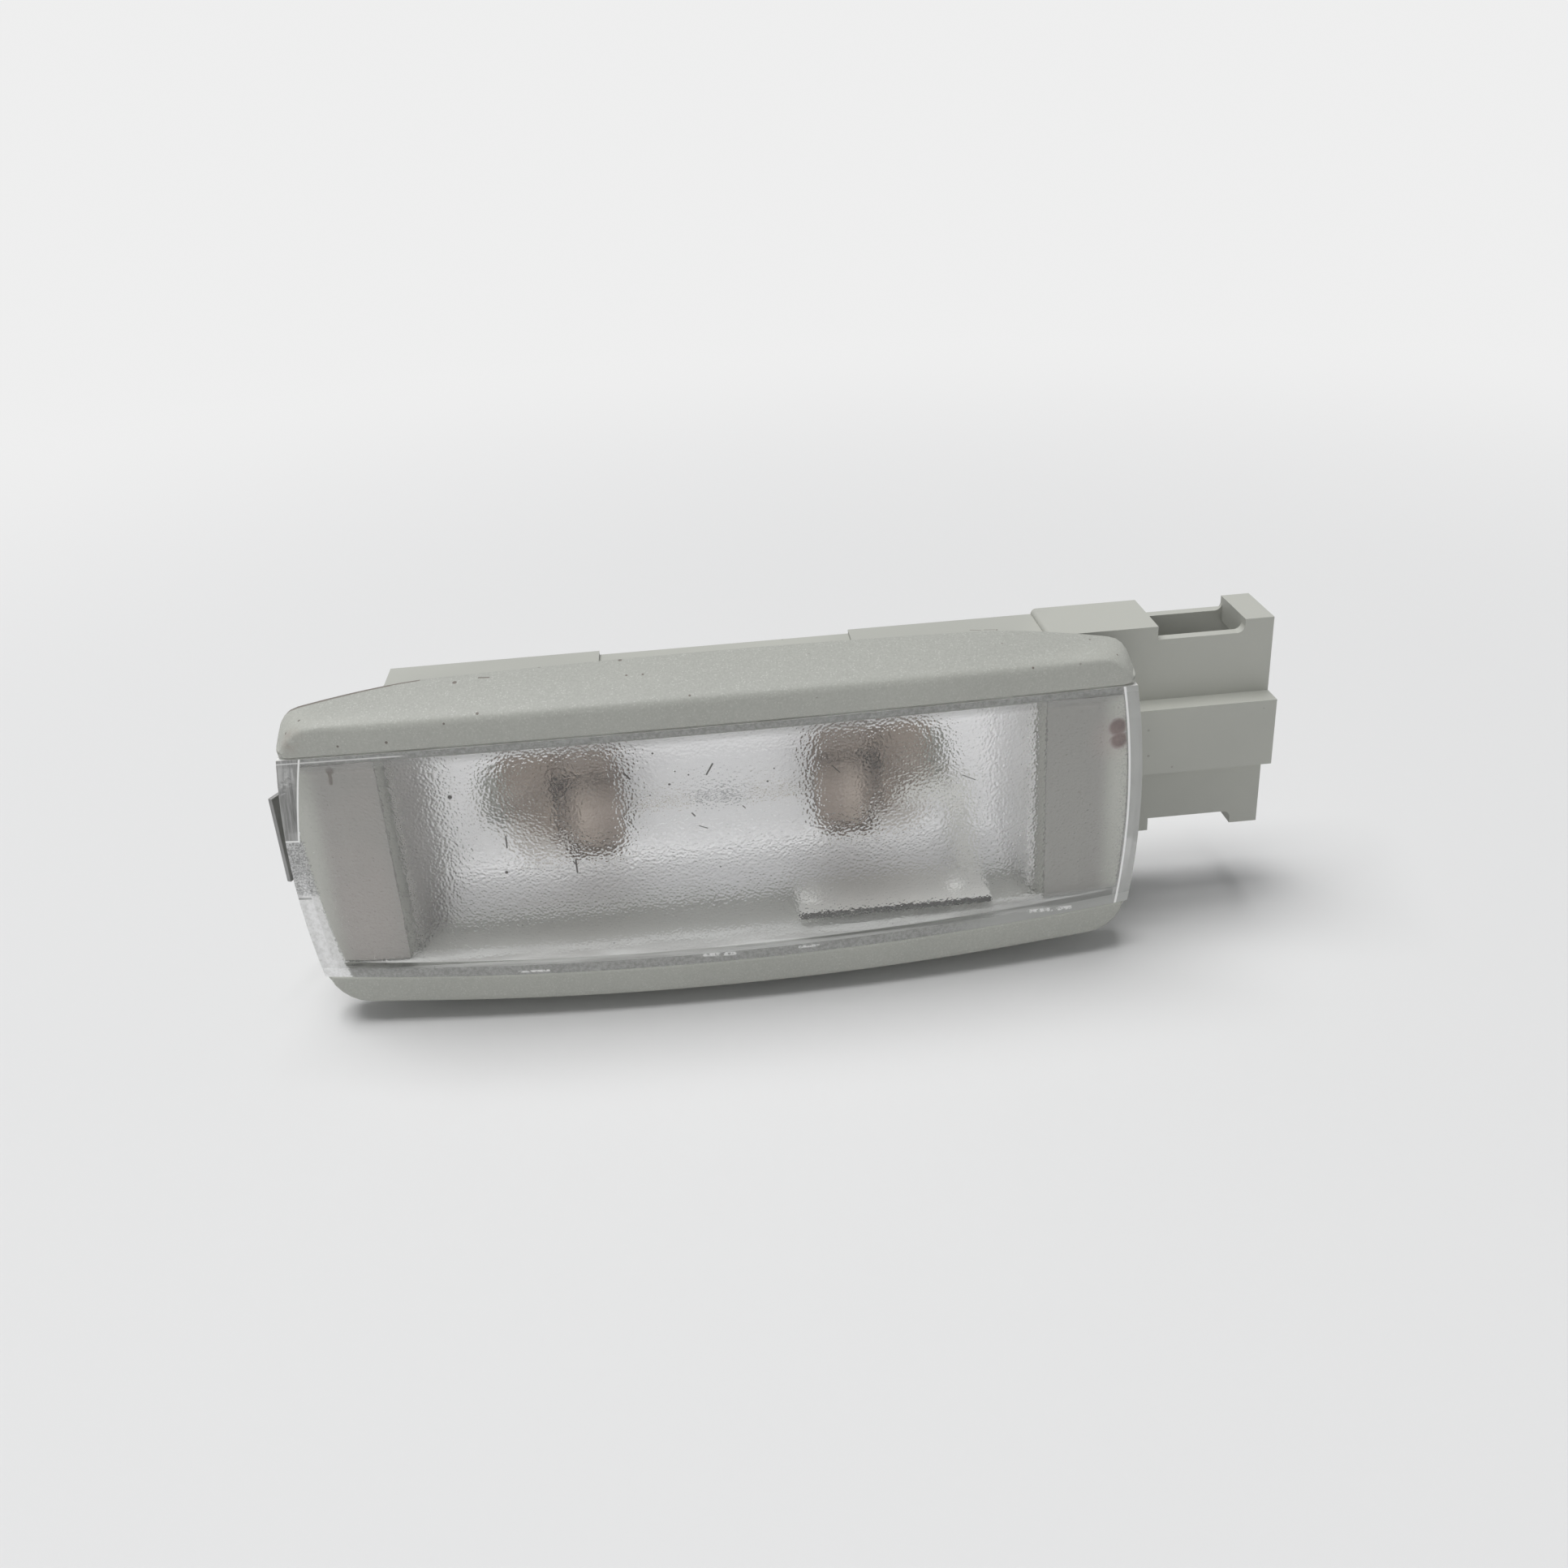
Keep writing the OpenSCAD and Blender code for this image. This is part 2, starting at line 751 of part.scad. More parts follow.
module solder_right() {
    solder();
}

module solder_left() {
    mirror([1, 0, 0])
        solder();
}

// Centre of the filament wire, from 0 to 1 of its length
function coil_point(t) =
    let (r = coil_r * min(1, 6 * t, 6 * (1 - t)), a = 360 * coil_turns * t)
    [filament_half * (2 * t - 1), r * cos(a), r * sin(a)];

// Coiled tungsten wire, swept around its helix
module filament() {
    steps = coil_turns * 10;
    sides = 5;
    rings = [for (i = [0:steps])
        let (t = i / steps,
             p = coil_point(t),
             way = unit(coil_point(min(1, t + 0.005)) - coil_point(max(0, t - 0.005))),
             u = unit(cross(way, [0, 0, 1] + 0.01 * [1, 1, 0])),
             v = cross(way, u))
        [for (k = [0:sides - 1]) p + coil_wire_r * (u * cos(360 * k / sides) + v * sin(360 * k / sides))]];
    color([0.35, 0.34, 0.33])
        translate([0, bulb_y, 0])
            polyhedron(
                points = [for (r = rings) for (p = r) p],
                faces = concat(
                    [[for (k = [0:sides - 1]) k]],
                    [[for (k = [0:sides - 1]) steps * sides + sides - 1 - k]],
                    [for (i = [0:steps - 1]) for (k = [0:sides - 1])
                        [i * sides + k, (i + 1) * sides + k, (i + 1) * sides + (k + 1) % sides]],
                    [for (i = [0:steps - 1]) for (k = [0:sides - 1])
                        [i * sides + k, (i + 1) * sides + (k + 1) % sides, i * sides + (k + 1) % sides]]),
                convexity = 12);
}

// Right-hand wire from the filament to the cap
module lead() {
    color([0.7, 0.68, 0.64])
        translate([filament_half, bulb_y, 0])
            upright_to_x()
                cylinder(r = lead_r, h = bulb_len / 2 - tip_h - cap_t - filament_half, $fn = 16);
}

module lead_right() {
    lead();
}

module lead_left() {
    mirror([1, 0, 0])
        lead();
}

// Right-hand bulb contact: base, two jaws round the cap, and the blade behind its tip
module contact() {
    jaw = cap_r + 0.1;
    flare = 0.8;
    corner = 3.2;
    color([0.6, 0.5, 0.4])
        difference() {
            union() {
                along_y(contact_front, contact_back)
                    polygon([[contact_in, -contact_half_z], [contact_out - corner, -contact_half_z],
                             [contact_out, corner - contact_half_z],
                             [contact_out, contact_half_z], [contact_in, contact_half_z]]);
                both_z()
                    along_x(jaw_in, jaw_out)
                        polygon(band([[contact_back, jaw + contact_t / 2],
                                      [jaw_front + flare, jaw + contact_t / 2],
                                      [jaw_front, jaw + contact_t / 2 + flare / 2]], contact_t));
                along_x(blade_x, blade_x + contact_t)
                    difference() {
                        union() {
                            translate([bulb_y, -cap_r + 0.8])
                                square([contact_back - bulb_y, 2 * cap_r - 1.6]);
                            translate([bulb_y, 0])
                                circle(cap_r - 0.8, $fn = 2 * round_fn);
                        }
                        translate([bulb_y, 0])
                            circle(tip_r + 0.25, $fn = round_fn);
                    }
            }
            translate([rivet_x, contact_front - 1, 0])
                rotate([-90, 0, 0])
                    cylinder(r = rivet_r + 0.05, h = contact_t + 2, $fn = round_fn);
        }
}

module contact_right() {
    contact();
}

module contact_left() {
    mirror([1, 0, 0])
        contact();
}

// Right-hand rivet through a bulb contact and the strip behind it
module contact_rivet() {
    color([0.78, 0.78, 0.76])
        translate([rivet_x, 0, 0]) {
            translate([0, contact_front, 0]) {
                rotate([90, 0, 0])
                    dome(rivet_head_r, rivet_head_h);
                rotate([-90, 0, 0])
                    cylinder(r = rivet_r, h = contact_t + strip_t, $fn = round_fn);
            }
            translate([0, contact_back + strip_t, 0])
                rotate([-90, 0, 0])
                    dome(rivet_head_r - 0.2, 0.4);
        }
}

module contact_rivet_right() {
    contact_rivet();
}

module contact_rivet_left() {
    mirror([1, 0, 0])
        contact_rivet();
}

// Pad of a strip under a bulb contact, at x
module strip_pad(x) {
    block([x - pad_half, contact_back, -pad_half], [x + pad_half, contact_back + strip_t, pad_half]);
}

// Hole for the rivet in a strip pad, at x
module strip_pad_hole(x) {
    translate([x, contact_back - 1, 0])
        rotate([-90, 0, 0])
            cylinder(r = rivet_r + 0.05, h = strip_t + 2, $fn = round_fn);
}

// Way of a strip in (x, y) from the chamber through the terminal block to its blade's tip
strip_tail = [[block_start + 1.8, strip_mid], [block_start + 4.3, blade_y], [blade_end, blade_y]];

// Strip from the left bulb contact, behind the reflector, to the upper blade
module earth_strip() {
    low = earth_z - blade_w / 2;
    color([0.8, 0.79, 0.74])
        difference() {
            union() {
                strip_pad(-rivet_x);
                block([-rivet_x - pad_half, contact_back, pad_half - eps],
                      [-rivet_x + pad_half, strip_back, pad_half + strip_t]);
                block([-rivet_x - pad_half, strip_back - strip_t, pad_half],
                      [-rivet_x + pad_half, strip_back, low + eps]);
                along_z(low, low + blade_w)
                    polygon(band(concat([[-rivet_x - pad_half, strip_mid]], strip_tail), strip_t));
            }
            strip_pad_hole(-rivet_x);
        }
}

// Strip from the right bulb contact to the lower blade
module live_strip() {
    low = live_z - blade_w / 2;
    color([0.8, 0.79, 0.74])
        difference() {
            union() {
                strip_pad(rivet_x);
                along_z(low, low + blade_w)
                    polygon(band(concat([[rivet_x - pad_half, pad_mid],
                                         [rivet_x + pad_half + 0.8, pad_mid],
                                         [rivet_x + pad_half + 1.8, strip_mid]], strip_tail), strip_t));
            }
            strip_pad_hole(rivet_x);
        }
}

// Bent strip with a shelf near the chamber floor and a riser to the right bulb contact
module jumper_strip() {
    z = shelf_top - strip_t / 2;
    color([0.82, 0.82, 0.8])
        difference() {
            union() {
                block([shelf_x, shelf_front, shelf_top - strip_t],
                      [shelf_x + shelf_len, shelf_back, shelf_top]);
                along_x(riser_x, riser_x + riser_w)
                    polygon(band([[riser_mid, riser_top], [riser_mid, riser_bend],
                                  [shelf_back, z], [shelf_front + 1, z]], strip_t));
                block([contact_out - 3.2, contact_front - strip_t, riser_top - 2],
                      [riser_x + riser_w, contact_front, riser_top]);
            }
            for (x = stake_x)
                translate([x, stake_y, z - 1])
                    cylinder(r = stake_r, h = 2, $fn = round_fn);
        }
}

// Rivet that holds the jumper strip on its post, at x
module jumper_rivet(x) {
    color([0.85, 0.85, 0.83])
        translate([x, stake_y, shelf_top]) {
            dome(stake_head_r, stake_head_h);
            translate([0, 0, -strip_t - 1.2])
                cylinder(r = stake_r - 0.05, h = strip_t + 1.2, $fn = round_fn);
        }
}

module jumper_rivet_left() {
    jumper_rivet(stake_x[0]);
}

module jumper_rivet_right() {
    jumper_rivet(stake_x[1]);
}

// Steel hairpin clip: inner leg, bend and free leaf
module spring_clip() {
    far = 4 * bend_out;
    color([0.33, 0.34, 0.35])
        translate([clip_x, clip_y, 0])
            along_z(-clip_w / 2, clip_w / 2) {
                intersection() {
                    difference() {
                        circle(bend_out, $fn = 2 * round_fn);
                        circle(bend_in, $fn = 2 * round_fn);
                    }
                    polygon([[0, 0], [far, 0], [far, far], [-far, far],
                             far * [-cos(leaf_lean), sin(leaf_lean)]]);
                }
                rotate(180 - leaf_lean)
                    translate([bend_in, 0])
                        square([clip_t, leaf_len]);
                translate([bend_in, -leg_len])
                    square([clip_t, leg_len]);
            }
}

housing();
lens();
reflector();
bulb_glass();
bulb_cap_left();
bulb_cap_right();
solder_left();
solder_right();
filament();
lead_left();
lead_right();
contact_left();
contact_right();
contact_rivet_left();
contact_rivet_right();
earth_strip();
live_strip();
jumper_strip();
jumper_rivet_left();
jumper_rivet_right();
spring_clip();
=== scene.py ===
"""Snap-in car interior light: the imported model, finished and lit as on a white table."""

import json
import math

import bmesh
import bpy
from mathutils import Euler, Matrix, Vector


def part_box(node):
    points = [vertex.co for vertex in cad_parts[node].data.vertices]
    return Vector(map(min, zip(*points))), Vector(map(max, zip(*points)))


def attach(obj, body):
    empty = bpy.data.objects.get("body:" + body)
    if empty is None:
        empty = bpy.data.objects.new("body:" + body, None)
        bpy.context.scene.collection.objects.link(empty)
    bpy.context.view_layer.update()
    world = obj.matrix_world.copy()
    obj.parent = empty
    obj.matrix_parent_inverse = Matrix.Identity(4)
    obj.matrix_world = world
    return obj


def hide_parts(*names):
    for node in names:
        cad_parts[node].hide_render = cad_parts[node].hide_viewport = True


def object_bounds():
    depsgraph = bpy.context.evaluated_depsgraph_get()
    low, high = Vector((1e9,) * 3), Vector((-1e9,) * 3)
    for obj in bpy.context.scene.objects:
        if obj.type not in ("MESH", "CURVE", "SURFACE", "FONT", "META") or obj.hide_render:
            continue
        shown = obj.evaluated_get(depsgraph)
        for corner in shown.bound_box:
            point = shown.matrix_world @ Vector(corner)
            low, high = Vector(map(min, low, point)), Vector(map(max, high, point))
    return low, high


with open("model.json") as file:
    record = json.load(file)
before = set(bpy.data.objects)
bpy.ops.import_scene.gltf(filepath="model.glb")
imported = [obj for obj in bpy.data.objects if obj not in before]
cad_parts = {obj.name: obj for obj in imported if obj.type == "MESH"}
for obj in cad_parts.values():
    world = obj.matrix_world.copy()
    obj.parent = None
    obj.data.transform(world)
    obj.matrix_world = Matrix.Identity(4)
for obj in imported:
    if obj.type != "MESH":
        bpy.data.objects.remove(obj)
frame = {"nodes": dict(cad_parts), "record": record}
cad_box = [list(corner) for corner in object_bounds()]
SLOT_OF = {part["node"]: part["material_slot"] for part in frame["record"]["subparts"]}

MM = 0.001


def mm(x, y, z):
    """A point given in millimetres."""
    return Vector((x, y, z)) * MM


# Shader maths


class Value:
    """A socket in a node recipe, on which arithmetic adds the Math nodes."""

    def __init__(self, recipe, socket):
        self.recipe = recipe
        self.socket = socket

    def math(self, operation, *values):
        return self.recipe.node("ShaderNodeMath", {"operation": operation}, list(values))

    def __add__(self, other):
        return self.math("ADD", self, other)

    def __sub__(self, other):
        return self.math("SUBTRACT", self, other)

    def __rsub__(self, other):
        return self.math("SUBTRACT", other, self)

    def __mul__(self, other):
        return self.math("MULTIPLY", self, other)

    def __truediv__(self, other):
        return self.math("DIVIDE", self, other)

    def __pow__(self, other):
        return self.math("POWER", self, other)

    __radd__ = __add__
    __rmul__ = __mul__

    def size(self):
        return self.math("ABSOLUTE", self)

    def least(self, other):
        return self.math("MINIMUM", self, other)

    def most(self, other):
        return self.math("MAXIMUM", self, other)

    def ramp(self, start, end):
        """Eases from 0 to 1 as the value goes from start to end."""
        settings = {"interpolation_type": "SMOOTHSTEP"}
        return self.recipe.node("ShaderNodeMapRange", settings, [self, start, end])


class Recipe:
    """The nodes of a material or of the studio, added one at a time."""

    def __init__(self, tree):
        self.tree = tree
        tree.nodes.clear()

    def node(self, kind, settings=None, values=None, output=0):
        """Adds a node: its settings first, then the values or links of its sockets."""
        made = self.tree.nodes.new(kind)
        for key, setting in (settings or {}).items():
            setattr(made, key, setting)
        values = dict(enumerate(values)) if isinstance(values, list) else values or {}
        for key, value in values.items():
            if isinstance(value, Value):
                self.tree.links.new(value.socket, made.inputs[key])
            elif value is not None:
                made.inputs[key].default_value = value
        return Value(self, made.outputs[output]) if made.outputs else None


class Finish(Recipe):
    """A material for one kind of surface, whose patterns are placed on the piece itself."""

    def __init__(self, name):
        self.material = bpy.data.materials.new(name)
        self.material.use_nodes = True
        super().__init__(self.material.node_tree)
        self.place = self.node("ShaderNodeTexCoord", output="Object")
        self.x, self.y, self.z = (
            self.node("ShaderNodeSeparateXYZ", None, [self.place], output=axis) for axis in range(3)
        )

    def vector(self, operation, *values, output="Vector"):
        return self.node("ShaderNodeVectorMath", {"operation": operation}, list(values), output)

    def mix(self, mask, below, above):
        """Two colours mixed by a mask."""
        below, above = (c if isinstance(c, Value) else (*c, 1) for c in (below, above))
        values = {0: mask, 6: below, 7: above}
        return self.node("ShaderNodeMix", {"data_type": "RGBA"}, values, output=2)

    def coats(self, colour, *layers):
        """A colour under coats of paint, each a mask and a colour of its own."""
        for mask, paint in layers:
            colour = self.mix(mask, colour, paint)
        return colour

    def moved(self, seed=0.0, stretch=(1, 1, 1), place=None):
        """The place on the piece, shifted so that two patterns don't repeat each other."""
        place = place or self.place
        return self.node("ShaderNodeMapping", None, [place, (seed,) * 3, (0, 0, 0), stretch])

    def cloud(self, per_metre, detail=2.0, roughness=0.5, stretch=(1, 1, 1), seed=0.0, place=None):
        """Soft noise from 0 to 1 with so many cells in a metre."""
        values = {
            "Vector": self.moved(seed, stretch, place),
            "Scale": per_metre,
            "Detail": detail,
            "Roughness": roughness,
        }
        return self.node("ShaderNodeTexNoise", None, values)

    def cells(self, per_metre, feature="F1", seed=0.0):
        """Distance to the nearest of scattered points."""
        values = {"Vector": self.moved(seed), "Scale": per_metre}
        return self.node("ShaderNodeTexVoronoi", {"feature": feature}, values, output="Distance")

    def spot(self, centre, radius, soft=0.4):
        """Mask of a round spot, given in millimetres."""
        away = self.vector("DISTANCE", self.place, mm(*centre), output="Value")
        return away.ramp(radius * MM, radius * (1 - soft) * MM)

    def stroke(self, start, end, width):
        """Mask of a hair or scratch from one point to another, given in millimetres."""
        a, b = mm(*start), mm(*end)
        along = b - a
        off = self.vector("SUBTRACT", self.place, a)
        run = self.vector("DOT_PRODUCT", off, along, output="Value") / along.length_squared
        values = {"Vector": along, "Scale": run.most(0.0).least(1.0)}
        foot = self.node("ShaderNodeVectorMath", {"operation": "SCALE"}, values)
        return self.vector("DISTANCE", off, foot, output="Value").ramp(width * MM, width * 0.4 * MM)

    def bumped(self, height, distance, strength=1.0):
        """Normal raised by a height from 0 to 1."""
        values = {"Height": height, "Distance": distance, "Strength": strength}
        return self.node("ShaderNodeBump", None, values)

    def clear(self, colour):
        return self.node("ShaderNodeBsdfTransparent", None, [(*colour, 1)])

    def ray(self, kind):
        """Which ray looks, such as Is Shadow Ray."""
        return self.node("ShaderNodeLightPath", output=kind)

    def either(self, factor, first, second):
        return self.node("ShaderNodeMixShader", None, [factor, first, second])

    def done(self, shader):
        self.node("ShaderNodeOutputMaterial", None, [shader])
        return self.material


def principled(finish, **sockets):
    """The Principled shader of a finish, with a socket for each name, such as Base_Color."""
    values = {name.replace("_", " "): value for name, value in sockets.items()}
    return finish.done(finish.node("ShaderNodeBsdfPrincipled", None, values))


def union(masks):
    """The greatest of several masks."""
    out = masks[0]
    for mask in masks[1:]:
        out = out.most(mask)
    return out


# Finish of the grey housing

# Soft borders of its zones in metres, from where a zone starts to fade in to where it is whole
RAIL_EDGE = (0.0126, 0.0133)
RAIL_BACK = (0.0009, 0.0004)
# The upper slope of the rails is painted darker, as painted shade
UPPER_SLOPE = (0.0158, 0.0172)
# The ledges behind the lens are painted darker, as painted shade that offsets the extra light the
# lens hands on
LEDGE_EDGE = (0.0129, 0.0125)
LEDGE_DEPTH = (-0.0024, -0.0028)
WARM_LEDGE = (-0.032, -0.036)
# The chamber behind the lens is painted lighter than the plastic, as painted light that the lamps
# don't bring in
CHAMBER_TOP = (-0.0088, -0.01)
CHAMBER_FLOOR = (-0.0144, -0.0142)
CHAMBER_FRONT = (-0.0035, -0.002)
CHAMBER_END = (0.034, 0.033)

GREY = {
    "dark": (0.405, 0.41, 0.375),
    "light": (0.445, 0.45, 0.41),
    "rail": (0.31, 0.315, 0.29),
    "ledge": (0.235, 0.23, 0.214),
    "warm ledge": (0.34, 0.3, 0.28),
    "grain": (0.6, 0.61, 0.57),
    "chamber": (0.66, 0.665, 0.63),
    "sparkle": (0.56, 0.57, 0.53),
    "speck": (0.16, 0.14, 0.12),
    "smudge": (0.3, 0.25, 0.22),
    "dirt": (0.10, 0.075, 0.06),
    "rust": (0.07, 0.03, 0.025),
    "rusty halo": (0.4, 0.31, 0.29),
}

# Centre and radius of each dark speck, in millimetres
DIRT_DOTS = [
    ((-38.1, -3.0, 10.8), 0.5),
    ((-24.95, -1.3, 18.15), 0.28),
    ((-22.55, -5.7, 16.5), 0.2),
    ((-8.65, -0.4, 18.7), 0.24),
    ((-8.05, -3.05, 18.05), 0.16),
    ((-6.45, -3.15, 18.05), 0.16),
    ((-2.05, -6.5, 16.8), 0.16),
    ((-31.7, -5.35, 14.15), 0.18),
    ((-36.5, -4.85, 13.95), 0.15),
    ((-25.85, -5.85, 15.8), 0.14),
    ((31.85, -5.15, 15.95), 0.15),
    ((38.6, -1.15, 16.8), 0.14),
    ((40.9, -3.1, 15.7), 0.14),
    ((31.4, 9.6, 14.5), 0.16),
    ((-40.2, -2.75, 16.15), 0.18),
    ((-41.6, -3.2, 15.1), 0.16),
]
# Two ends and half the width of each scratch, in millimetres
SCRATCHES = [
    ((-38.1, -3.0, 10.9), (-38.2, -3.0, 9.4), 0.28),
    ((-22.6, -0.95, 18.3), (-21.6, -1.1, 18.3), 0.13),
    ((28.6, 10.2, 14.5), (29.7, 9.85, 14.5), 0.08),
    ((30.1, 9.9, 14.5), (31.2, 9.7, 14.5), 0.08),
]
# Corners of the dark line along the rear edge of the upper rail, and half the width of each
# stretch of it, in millimetres
DARK_REAR_EDGE = [
    (-41.6, -0.2, 16.0),
    (-40.5, -0.2, 16.65),
    (-37.9, -0.2, 17.1),
    (-34.7, -0.2, 17.6),
    (-31.4, -0.2, 18.08),
    (-28.6, -0.2, 18.35),
]
DARK_REAR_EDGE_WIDTHS = [0.45, 0.42, 0.4, 0.36, 0.3]


def dirt_marks(f):
    """Dark specks, scratches and the dark line along the rear edge of the upper rail."""
    strokes = SCRATCHES + list(zip(DARK_REAR_EDGE, DARK_REAR_EDGE[1:], DARK_REAR_EDGE_WIDTHS))
    return union([f.spot(*dot) for dot in DIRT_DOTS] + [f.stroke(*mark) for mark in strokes])


def rust_marks(f):
    """Two spots of rust on the right-hand ledge, and the stain round them."""
    spots = f.spot((41.3, -3.0, 7.7), 1.3, 0.4).most(f.spot((41.5, -3.0, 6.2), 1.3, 0.4))
    return spots * f.cloud(900, 3).ramp(0.15, 0.35), f.spot((40.9, -3.0, 6.6), 3.6, 0.9)


def moulded_grey():
    """Grey plastic: sparkling fine grain on the rails, smoother elsewhere, with a little dirt."""
    f = Finish("moulded_grey")
    height = f.z.size()
    on_rail = height.ramp(*RAIL_EDGE) * f.y.ramp(*RAIL_BACK)
    painted_shade_slope = on_rail * f.z.ramp(*UPPER_SLOPE)
    ledge = height.ramp(*LEDGE_EDGE) * f.y.ramp(*LEDGE_DEPTH)
    warm = ledge * f.x.ramp(*WARM_LEDGE) * f.cloud(90, seed=2.0).ramp(0.25, 0.7)
    chamber = f.z.ramp(*CHAMBER_TOP) * f.z.ramp(*CHAMBER_FLOOR)
    chamber = chamber * f.y.ramp(*CHAMBER_FRONT) * f.x.size().ramp(*CHAMBER_END)
    grain = f.cloud(4200, 2, 0.6)
    sparkle = f.cells(3900).ramp(0.4, 0.2) * f.cloud(1300, seed=0.9).ramp(0.38, 0.6) * on_rail
    specks = f.cells(420, seed=3.1).ramp(0.075, 0.045) * f.cloud(160, seed=1.7).ramp(0.52, 0.62)
    smudge = f.spot((-41.0, -4.0, 14.7), 1.9, 0.9) * f.cloud(800, 3).ramp(0.3, 0.6)
    rust, halo = rust_marks(f)
    colour = f.coats(
        f.mix(f.cloud(45, 3).ramp(0.35, 0.65), GREY["dark"], GREY["light"]),
        # The rails are a darker tone, and their upper slope darker still with painted shade
        (on_rail * 0.25 + painted_shade_slope * 0.45, GREY["rail"]),
        # Painted shade on the ledges behind the lens
        (ledge * 0.9, GREY["ledge"]),
        (warm * 0.5, GREY["warm ledge"]),
        (grain.ramp(0.35, 0.65) * on_rail * 0.16, GREY["grain"]),
        # Painted light in the chamber behind the lens
        (chamber * 0.85, GREY["chamber"]),
        (sparkle * 0.42, GREY["sparkle"]),
        (specks * 0.45, GREY["speck"]),
        (smudge * 0.5, GREY["smudge"]),
        # Dirt specks and scratches, and the dark line along the rear edge of the upper rail
        (dirt_marks(f) * 0.8, GREY["dirt"]),
        (rust, GREY["rust"]),
        (halo * 0.3, GREY["rusty halo"]),
    )
    return principled(
        f,
        Base_Color=colour,
        Roughness=0.5 + 0.12 * grain - 0.12 * sparkle,
        Normal=f.bumped(grain * (0.25 + 0.75 * on_rail) + f.cloud(700, 2) * 0.6, 0.00006, 0.55),
    )


# Finish of the reflector

SILVER = (0.98, 0.98, 0.99)
# Bare plastic of the dish, painted light, and of its ends, painted shade
PAINTED_LIGHT_DISH = (0.78, 0.785, 0.76)
PAINTED_SHADE_DISH_END = (0.34, 0.325, 0.31)
# Painted reflection and shadow of the bronze contacts on the silver
PAINTED_CONTACT_SHADE = (0.44, 0.39, 0.34)

# Where the silver thins out low down and gives way to painted shade at the ends, and the borders of
# the two patches of painted reflection and shadow of the contacts, in metres
SILVER_LOW = (-0.0125, -0.0108)
SILVER_BACK = (0.004, 0.008)
SILVER_MIDDLE = 0.001
SILVER_END = (0.0337, 0.0300)
PATCH_INNER = (0.0108, 0.0118)
PATCH_OUTER = (0.0254, 0.0238)
PATCH_LOW = (-0.0089, -0.0077)
PATCH_TOP = (0.0052, 0.0042)
PATCH_MIDDLE = -0.002
PATCH_BOW = 70


def silvered():
    """Vacuum-silvered plastic, whose silver thins out towards the lower edge, with painted light on
    the bare plastic there, painted shade at the ends, and the contacts' painted reflection and
    shadow.
    """
    f = Finish("silvered")
    wobble = f.cloud(120, 2) * 0.002 - 0.001
    low = (f.z + wobble).ramp(*SILVER_LOW).most(f.y.ramp(*SILVER_BACK))
    ends = (f.x - SILVER_MIDDLE + wobble).size().ramp(*SILVER_END)
    across = f.x.size()
    rise = f.z - PATCH_MIDDLE
    painted_contact_patches = across.ramp(*PATCH_INNER) * (across + rise * rise * PATCH_BOW).ramp(*PATCH_OUTER)
    painted_contact_patches = painted_contact_patches * f.z.ramp(*PATCH_LOW) * f.z.ramp(*PATCH_TOP)
    painted_contact_tips = f.spot((-24.7, 11.0, -1.3), 3.2, 0.8).most(f.spot((24.6, 11.0, -2.0), 2.8, 0.8))
    # Here stain holds the painted reflection and shadow of the contacts
    stain = painted_contact_tips.most(painted_contact_patches * 0.95)
    silver = low * ends * (1 - stain * 0.8)
    # Bare plastic painted light in the middle and painted shade at the ends
    painted_bare = f.coats(f.mix(ends, PAINTED_SHADE_DISH_END, PAINTED_LIGHT_DISH), (stain, PAINTED_CONTACT_SHADE))
    return principled(
        f,
        Base_Color=f.mix(silver, painted_bare, SILVER),
        Metallic=silver * 0.2,
        Specular_IOR_Level=0.9,
        Roughness=0.58 - 0.18 * silver,
        Normal=f.bumped(f.cloud(260, 2), 0.0001, 0.25),
    )


# Finishes of the lens

# Share of the light that the faces of the lens and its edges hand on. The faces hand on more
# than all of it, which adds light behind the lens that the lamps don't give.
LIT_FACE = (1.1, 1.1, 1.1)
LIT_EDGE = (0.95, 0.95, 0.95)

# Outline of the lens in metres, and how far its sides and ends bow, per metre squared
LENS_HALF_HEIGHT = 0.0135
LENS_SIDE_BOW = 0.489
LENS_HALF_LENGTH = 0.0439
LENS_END_BOW = 6.26

# Soft borders of the zones along its rim where shading and highlights are painted, as a distance in
# from the edge
SIDE_BAND = (0.00075, 0.0006)
LOWER_BAND = (0.00125, 0.00105)
FAINT_BAND = (0.0018, 0.0009)
END_STRIP = (0.00145, 0.0013)
CLOUDY_END = (0.0028, 0.0025)
FROSTED_END = (0.0036, 0.0016)

# Places on it: the left end, the upper half, the zones of its ends, and the pry slot
LEFT_END = (-0.030, -0.031)
UPPER_HALF = (-0.001, 0.001)
LOWER_LEFT = (-0.0022, -0.0032)
LOWER_RIGHT = (0.02, 0.03)
NEAR_LOWER_SIDE = (-0.0098, -0.0108)
SLOT_FLOOR = 0.0036
SLOT_WIDTH = 0.0014
SLOT_LEAN = 0.1

# Half the width of the painted highlight round the slot, then place and half width of the other
# thin lines: painted highlights along the right end and the upper seam, and the dark line of the
# step
SLOT_LINE = 0.00014
RIGHT_LINE = (0.0014, 0.00019)
SEAM_LINE = (0.0004, 0.0001)
STEP_LINE = (-0.00305, 0.00016)

# Colours painted on the rim of the lens: the shading of its walls seen through the face, painted
# light over the gap at the lower right, the pry slot with its shade, and painted glints
LENS_RIM = {
    "dark band": (0.25, 0.25, 0.24),
    "light band": (0.37, 0.375, 0.36),
    "lower right": (0.4, 0.405, 0.39),
    "right strip": (0.45, 0.455, 0.44),
    "dark grit": (0.26, 0.26, 0.26),
    "light grit": (0.72, 0.72, 0.72),
    "milk": (0.78, 0.78, 0.77),
    "white milk": (0.97, 0.97, 0.97),
    "dark slot": (0.2, 0.2, 0.195),
    "light slot": (0.42, 0.42, 0.41),
    "step": (0.3, 0.3, 0.29),
    "glint": (0.95, 0.95, 0.94),
    "hair": (0.05, 0.045, 0.04),
}
